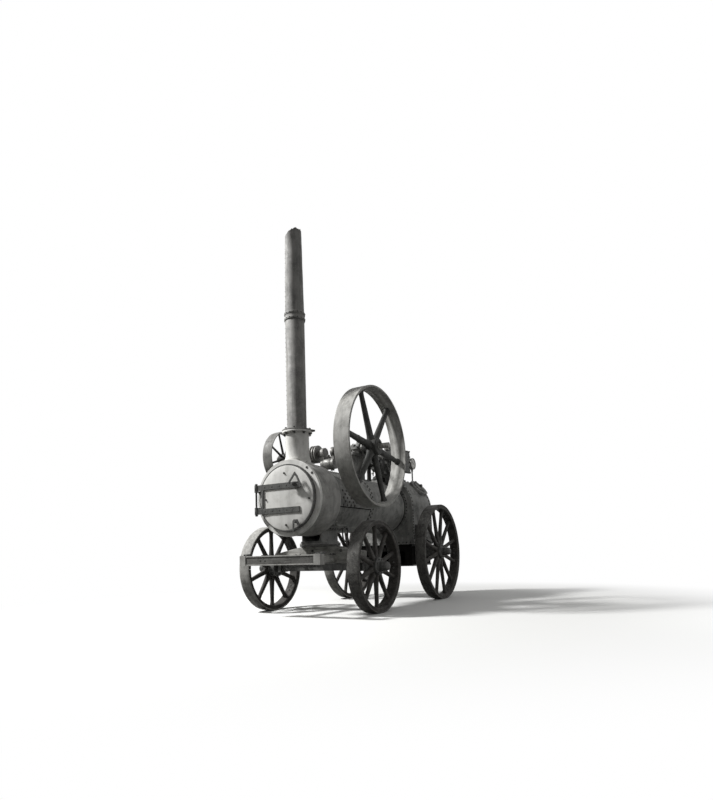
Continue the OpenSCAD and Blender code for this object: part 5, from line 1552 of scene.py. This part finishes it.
@dataclass
class RearFittings:
    """Rivets, firehole door ironwork and gauges of the firebox's back, and the axle brackets' bolts."""

    at: Stations
    regulator: tuple[float, float] = (60, 1690)
    cock_y: float = 250.0
    cocks_h: Point = (1500.0, 1580.0, 1660.0)
    door_h: float = 1190.0

    def build(self) -> None:
        """Dresses the firebox's back and what lies under it."""
        self.backhead()
        self.fittings()
        self.firehole()
        self.ashpan()
        self.fire_bars()
        self.axle_brackets()

    def backhead(self) -> None:
        """Rivets the backhead and sets its stays."""
        at = self.at
        form = Form("backhead_rivets")
        r, h = at.firebox_r - 34, at.boiler_h
        arch = [math.radians(a) for a in spread(-90, 90, 29)]
        edge = [(r * math.sin(a), h + r * math.cos(a)) for a in arch]
        edge += [(side.value * r, h - 52 - i * 54) for side in Side for i in range(9)]
        edge += [(y, at.firebox_low + 30) for y in spread(-r, r, 16)]
        form.domes([facing((at.firebox_x, y, z), BACK) for y, z in edge], 13)
        grid = [(-345 + col * 115, 990 + row * 115) for row in range(4) for col in range(7)]
        clear = [(y, z) for y, z in grid if abs(y) > 300 or z < 1000 or (z > 1330 and abs(y + 150) > 60)]
        form.domes([facing((at.firebox_x, y, z), BACK) for y, z in clear], 11, 5)
        form.dress(SHADED_RIVET)

    def fittings(self) -> None:
        """Adds the regulator with its handle, and three try cocks."""
        face = self.at.firebox_x
        form = Form("backhead_fittings")
        place = facing((face, *self.regulator), BACK)
        form.revolve([(0, -2), (52, -2), (52, 14), (46, 18), (24, 20), (20, 52), (0, 52)], place, 32)
        form.bolts([place @ shift(x, y, 17) for _, x, y in ring_of(6, 38.0)], 10, False)
        form.prism([(-16, -14), (16, -14), (9, 190), (-9, 190)], place @ shift(0, 0, 46) @ turn(2.3, "Z"), 12)
        for z in self.cocks_h:
            cock = facing((face, self.cock_y, z), BACK)
            form.revolve([(0, -2), (20, -2), (20, 8), (11, 12), (11, 44), (0, 44)], cock, 18)
            form.bar(cock @ Vector((0, -22, 34)), cock @ Vector((0, 24, 34)), 9)
            form.bar(cock @ Vector((-22, 24, 34)), cock @ Vector((22, 24, 34)), 5)
        form.dress(BRIGHT, bevel=1.0)

    def firehole(self) -> None:
        """Adds the firehole door's strap rivets and handle."""
        x, h = self.at.corners("firehole_door")[0].x, self.door_h
        form = Form("firedoor_irons")
        rivets = [(y, h + z) for z in (70, -70) for y in (-90, -20, 50, 120)]
        form.domes([facing((x + 22, y, z), BACK) for y, z in rivets], 9)
        handle = ((18, -150, 40), (-20, -158, 32), (-30, -160, 0), (-20, -158, -32), (18, -150, -40))
        form.tube([(x + dx, y, h + dz) for dx, y, dz in handle], 8)
        form.dress(CAST, "firehole_door", 1.0)

    def ashpan(self) -> None:
        """Adds the ashpan's angle irons with their rivets."""
        low, high = self.at.corners("ashpan")
        form = Form("ashpan_irons")
        for side in Side:
            face = side.value * (high.y + 6)
            y0, y1 = sorted((side.value * high.y, face))
            form.box((low.x, y0, high.z - 34), (high.x, y1, high.z - 2))
            form.box((low.x, y0, low.z), (high.x, y1, low.z + 26))
            for x in spread(low.x + 40, high.x - 40, 7):
                form.domes([facing((x, face, z), side.out) for z in (high.z - 18, low.z + 13)], 8)
        form.dress(CAST, bevel=1.0)

    def fire_bars(self) -> None:
        """Lays the fire bars across the bottom of the fire chamber, their ends let into its walls."""
        at = self.at
        form = Form("fire_bars")
        half, ends = at.firebox_r - 85, 82
        for i in range(20):
            y = -half + (i + 0.5) * half / 10
            low = (at.firebox_x + ends, y - 13, at.firebox_low + 30)
            form.box(low, (at.throat_x - ends, y + 13, at.firebox_low + 70))
        form.dress(SOOT_AND_SHADE, bevel=1.5)

    def axle_brackets(self) -> None:
        """Bolts the rear axle brackets to the firebox."""
        form = Form("axle_bracket_bolts")
        spots = [(self.at.rear_axle_x + dx, z) for dx in (-160, -90, 90, 160) for z in (920, 1010, 1100)]
        for side in Side:
            y = side.value * (self.at.firebox_r + 26)
            form.bolts([facing((x, y, z), side.out) for x, z in spots], 20)
        form.dress(CAST)


@dataclass
class Studio:
    """A plain pale floor, soft lamps and the camera at the photograph's viewing angle."""

    camera_at: Point = (7.0144, 4.0308, 0.7120)
    yaw: float = -150.147
    pitch: float = 5.388
    roll: float = -1.722
    focal_px: float = 567.36
    centre_px: tuple[float, float] = (356.1, 500.2)
    image: tuple[int, int] = (713, 800)
    sensor_mm: float = 36.0
    floor_half: float = 60.0
    floor_seen: str = "#e4e4e2"
    floor_bounce: str = "#32322f"
    fade_from: float = 2.6
    fade_to: float = 6.0
    lamps_aim: Point = (0.3, 0, 1.3)
    key: tuple[Point, float, float] = ((4.99, -6.7, 8.86), 1.3, 2100.0)
    fill: tuple[Point, float, float] = ((0.4, 5.4, 0.9), 2.6, 34.0)
    world_strength: float = 0.42

    def build(self) -> None:
        """Sets up the floor, the light and the camera."""
        self.floor()
        self.lamps()
        self.world()
        self.camera()

    def seen(self, tree: bpy.types.NodeTree) -> bpy.types.NodeSocket:
        """Tells whether the camera or a shiny surface looks at the backdrop.

        Args:
            tree: the floor's or the world's node tree.

        Returns:
            1 where it does, or 0.
        """
        path = add_node(tree, "ShaderNodeLightPath").outputs
        either = {0: path["Is Camera Ray"], 1: path["Is Glossy Ray"]}
        return add_node(tree, "ShaderNodeMath", either, operation="MAXIMUM").outputs[0]

    def floor(self) -> None:
        """Lays a large pale floor that keeps the engine's shadow and fades to white around it."""
        mesh = bpy.data.meshes.new("studio_floor")
        s = self.floor_half
        mesh.from_pydata([(-s, -s, 0), (s, -s, 0), (s, s, 0), (-s, s, 0)], [], [(0, 1, 2, 3)])
        floor = bpy.data.objects.new("studio_floor", mesh)
        bpy.context.scene.collection.objects.link(floor)
        material = bpy.data.materials.new("studio_floor")
        material.use_nodes = True
        tree = material.node_tree
        tree.nodes.clear()
        put = partial(add_node, tree)
        seen = self.seen(tree)
        shades = {0: seen, 6: linear(self.floor_bounce), 7: linear(self.floor_seen)}
        colour = put("ShaderNodeMix", shades, **BLEND).outputs[2]
        matt = put("ShaderNodeBsdfPrincipled", {"Base Color": colour, "Roughness": 0.9, "Specular IOR Level": 0.1})
        place = put("ShaderNodeTexCoord").outputs["Object"]
        reach = put("ShaderNodeVectorMath", {0: place}, operation="LENGTH").outputs["Value"]
        fade = {"Value": reach, "From Min": self.fade_from, "From Max": self.fade_to}
        faded = put("ShaderNodeMapRange", fade, **SOFT_STEP).outputs["Result"]
        share = put("ShaderNodeMath", {0: faded, 1: seen}, operation="MULTIPLY").outputs[0]
        white = put("ShaderNodeEmission", {"Color": WHITE, "Strength": 1.0}).outputs["Emission"]
        mixed = put("ShaderNodeMixShader", {0: share, 1: matt.outputs["BSDF"], 2: white})
        put("ShaderNodeOutputMaterial", {"Surface": mixed.outputs[0]})
        mesh.materials.append(material)

    def lamps(self) -> None:
        """Hangs a key lamp high on the right and a weak, low fill on the left."""
        for name, (place, size, watts) in (("key_lamp", self.key), ("fill_lamp", self.fill)):
            lamp = bpy.data.lights.new(name, "AREA")
            lamp.size = size
            lamp.energy = watts
            holder = bpy.data.objects.new(name, lamp)
            bpy.context.scene.collection.objects.link(holder)
            holder.location = place
            holder.visible_camera = False
            aim = Vector(self.lamps_aim) - Vector(place)
            holder.rotation_euler = aim.to_track_quat("-Z", "Y").to_euler()

    def world(self) -> None:
        """Surrounds the engine with an even pale light that looks white to the camera."""
        world = bpy.data.worlds.new("studio_world")
        bpy.context.scene.world = world
        world.use_nodes = True
        tree = world.node_tree
        tree.nodes.clear()
        put = partial(add_node, tree)
        light = put("ShaderNodeBackground", {"Color": linear("#e6e6e6"), "Strength": self.world_strength})
        white = put("ShaderNodeBackground", {"Color": WHITE, "Strength": 1.0})
        mixed = put("ShaderNodeMixShader", {0: self.seen(tree), 1: light.outputs[0], 2: white.outputs[0]})
        put("ShaderNodeOutputWorld", {"Surface": mixed.outputs[0]})

    def camera(self) -> None:
        """Sets the camera where the photograph was seen from."""
        yaw, pitch, roll = (math.radians(a) for a in (self.yaw, self.pitch, self.roll))
        ahead = Vector((math.cos(yaw) * math.cos(pitch), math.sin(yaw) * math.cos(pitch), math.sin(pitch)))
        level = Vector((math.sin(yaw), -math.cos(yaw), 0.0))
        upright = level.cross(ahead)
        right = level * math.cos(roll) + upright * math.sin(roll)
        up = upright * math.cos(roll) - level * math.sin(roll)
        view = bpy.data.cameras.new("photo_camera")
        wide, high = self.image
        longest = max(wide, high)
        view.sensor_width = self.sensor_mm
        view.sensor_fit = "AUTO"
        view.lens = self.focal_px * self.sensor_mm / longest
        view.shift_x = (wide / 2 - self.centre_px[0]) / longest
        view.shift_y = (self.centre_px[1] - high / 2) / longest
        view.clip_end = 200.0
        holder = bpy.data.objects.new("photo_camera", view)
        bpy.context.scene.collection.objects.link(holder)
        holder.matrix_world = frame_of(right, up, -ahead, Vector(self.camera_at))
        bpy.context.scene.camera = holder


def dress_nodes(nodes: dict[str, bpy.types.Object]) -> None:
    """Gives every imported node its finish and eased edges.

    Args:
        nodes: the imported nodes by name.
    """
    by_slot = {finish.slot: finish for finish in (PLATE, DOOR, SHEET, CAST, TYRE, OAK, ASH_WOOD)}
    own = {
        "crankshaft": BRIGHT,
        "connecting_rod": BRIGHT,
        "eccentric_rod": BRIGHT,
        "tube_plate": SOOT_AND_SHADE,
        # The ashpan takes the near-black finish: partly soot, partly painted shade under the boiler.
        "ashpan": SOOT_AND_SHADE,
        "smokebox_shell": BLEACHED,
        "smokebox_ring": DOOR,
        "chimney_base": DOOR,
        # The left tyres take the dark tyre finish as painted shade for the boiler's shadow.
        "tyre_fl": SHADED_TYRE,
        "tyre_rl": SHADED_TYRE,
    }
    for name, node in nodes.items():
        slot = Slot(node.material_slots[0].material.name.split(".")[0])
        finish = own.get(name, by_slot[slot])
        node.material_slots[0].material = finish.build()
        weld = node.modifiers.new("joined_corners", "WELD")
        weld.merge_threshold = 1e-5
        ease_edges(node, 2.5)


def main() -> None:
    """Builds the engine's dress, the studio and the camera, in order."""
    logging.basicConfig(level=logging.INFO, format="%(relativeCreated)d ms %(name)s: %(message)s")
    bpy.context.scene.view_settings.view_transform = "Standard"
    for block in list(bpy.data.objects):
        bpy.data.objects.remove(block)
    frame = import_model()
    at = Stations.read()
    dress_nodes(frame["nodes"])
    wheels = (
        RoadWheel(at, "fl", "wheel_front_left", Side.LEFT, 10),
        RoadWheel(at, "fr", "wheel_front_right", Side.RIGHT, 10),
        RoadWheel(at, "rl", "wheel_rear_left", Side.LEFT, 12),
        RoadWheel(at, "rr", "wheel_rear_right", Side.RIGHT, 12),
    )
    fixed = (Boiler(at), SmokeboxFront(at), Chimney(at))
    moving = (BeltWheels(at), Engine(at), ForeCarriage(at), RearFittings(at))
    for part in (*fixed, *wheels, *moving, Studio()):
        part.build()


if __name__ == "__main__":
    main()
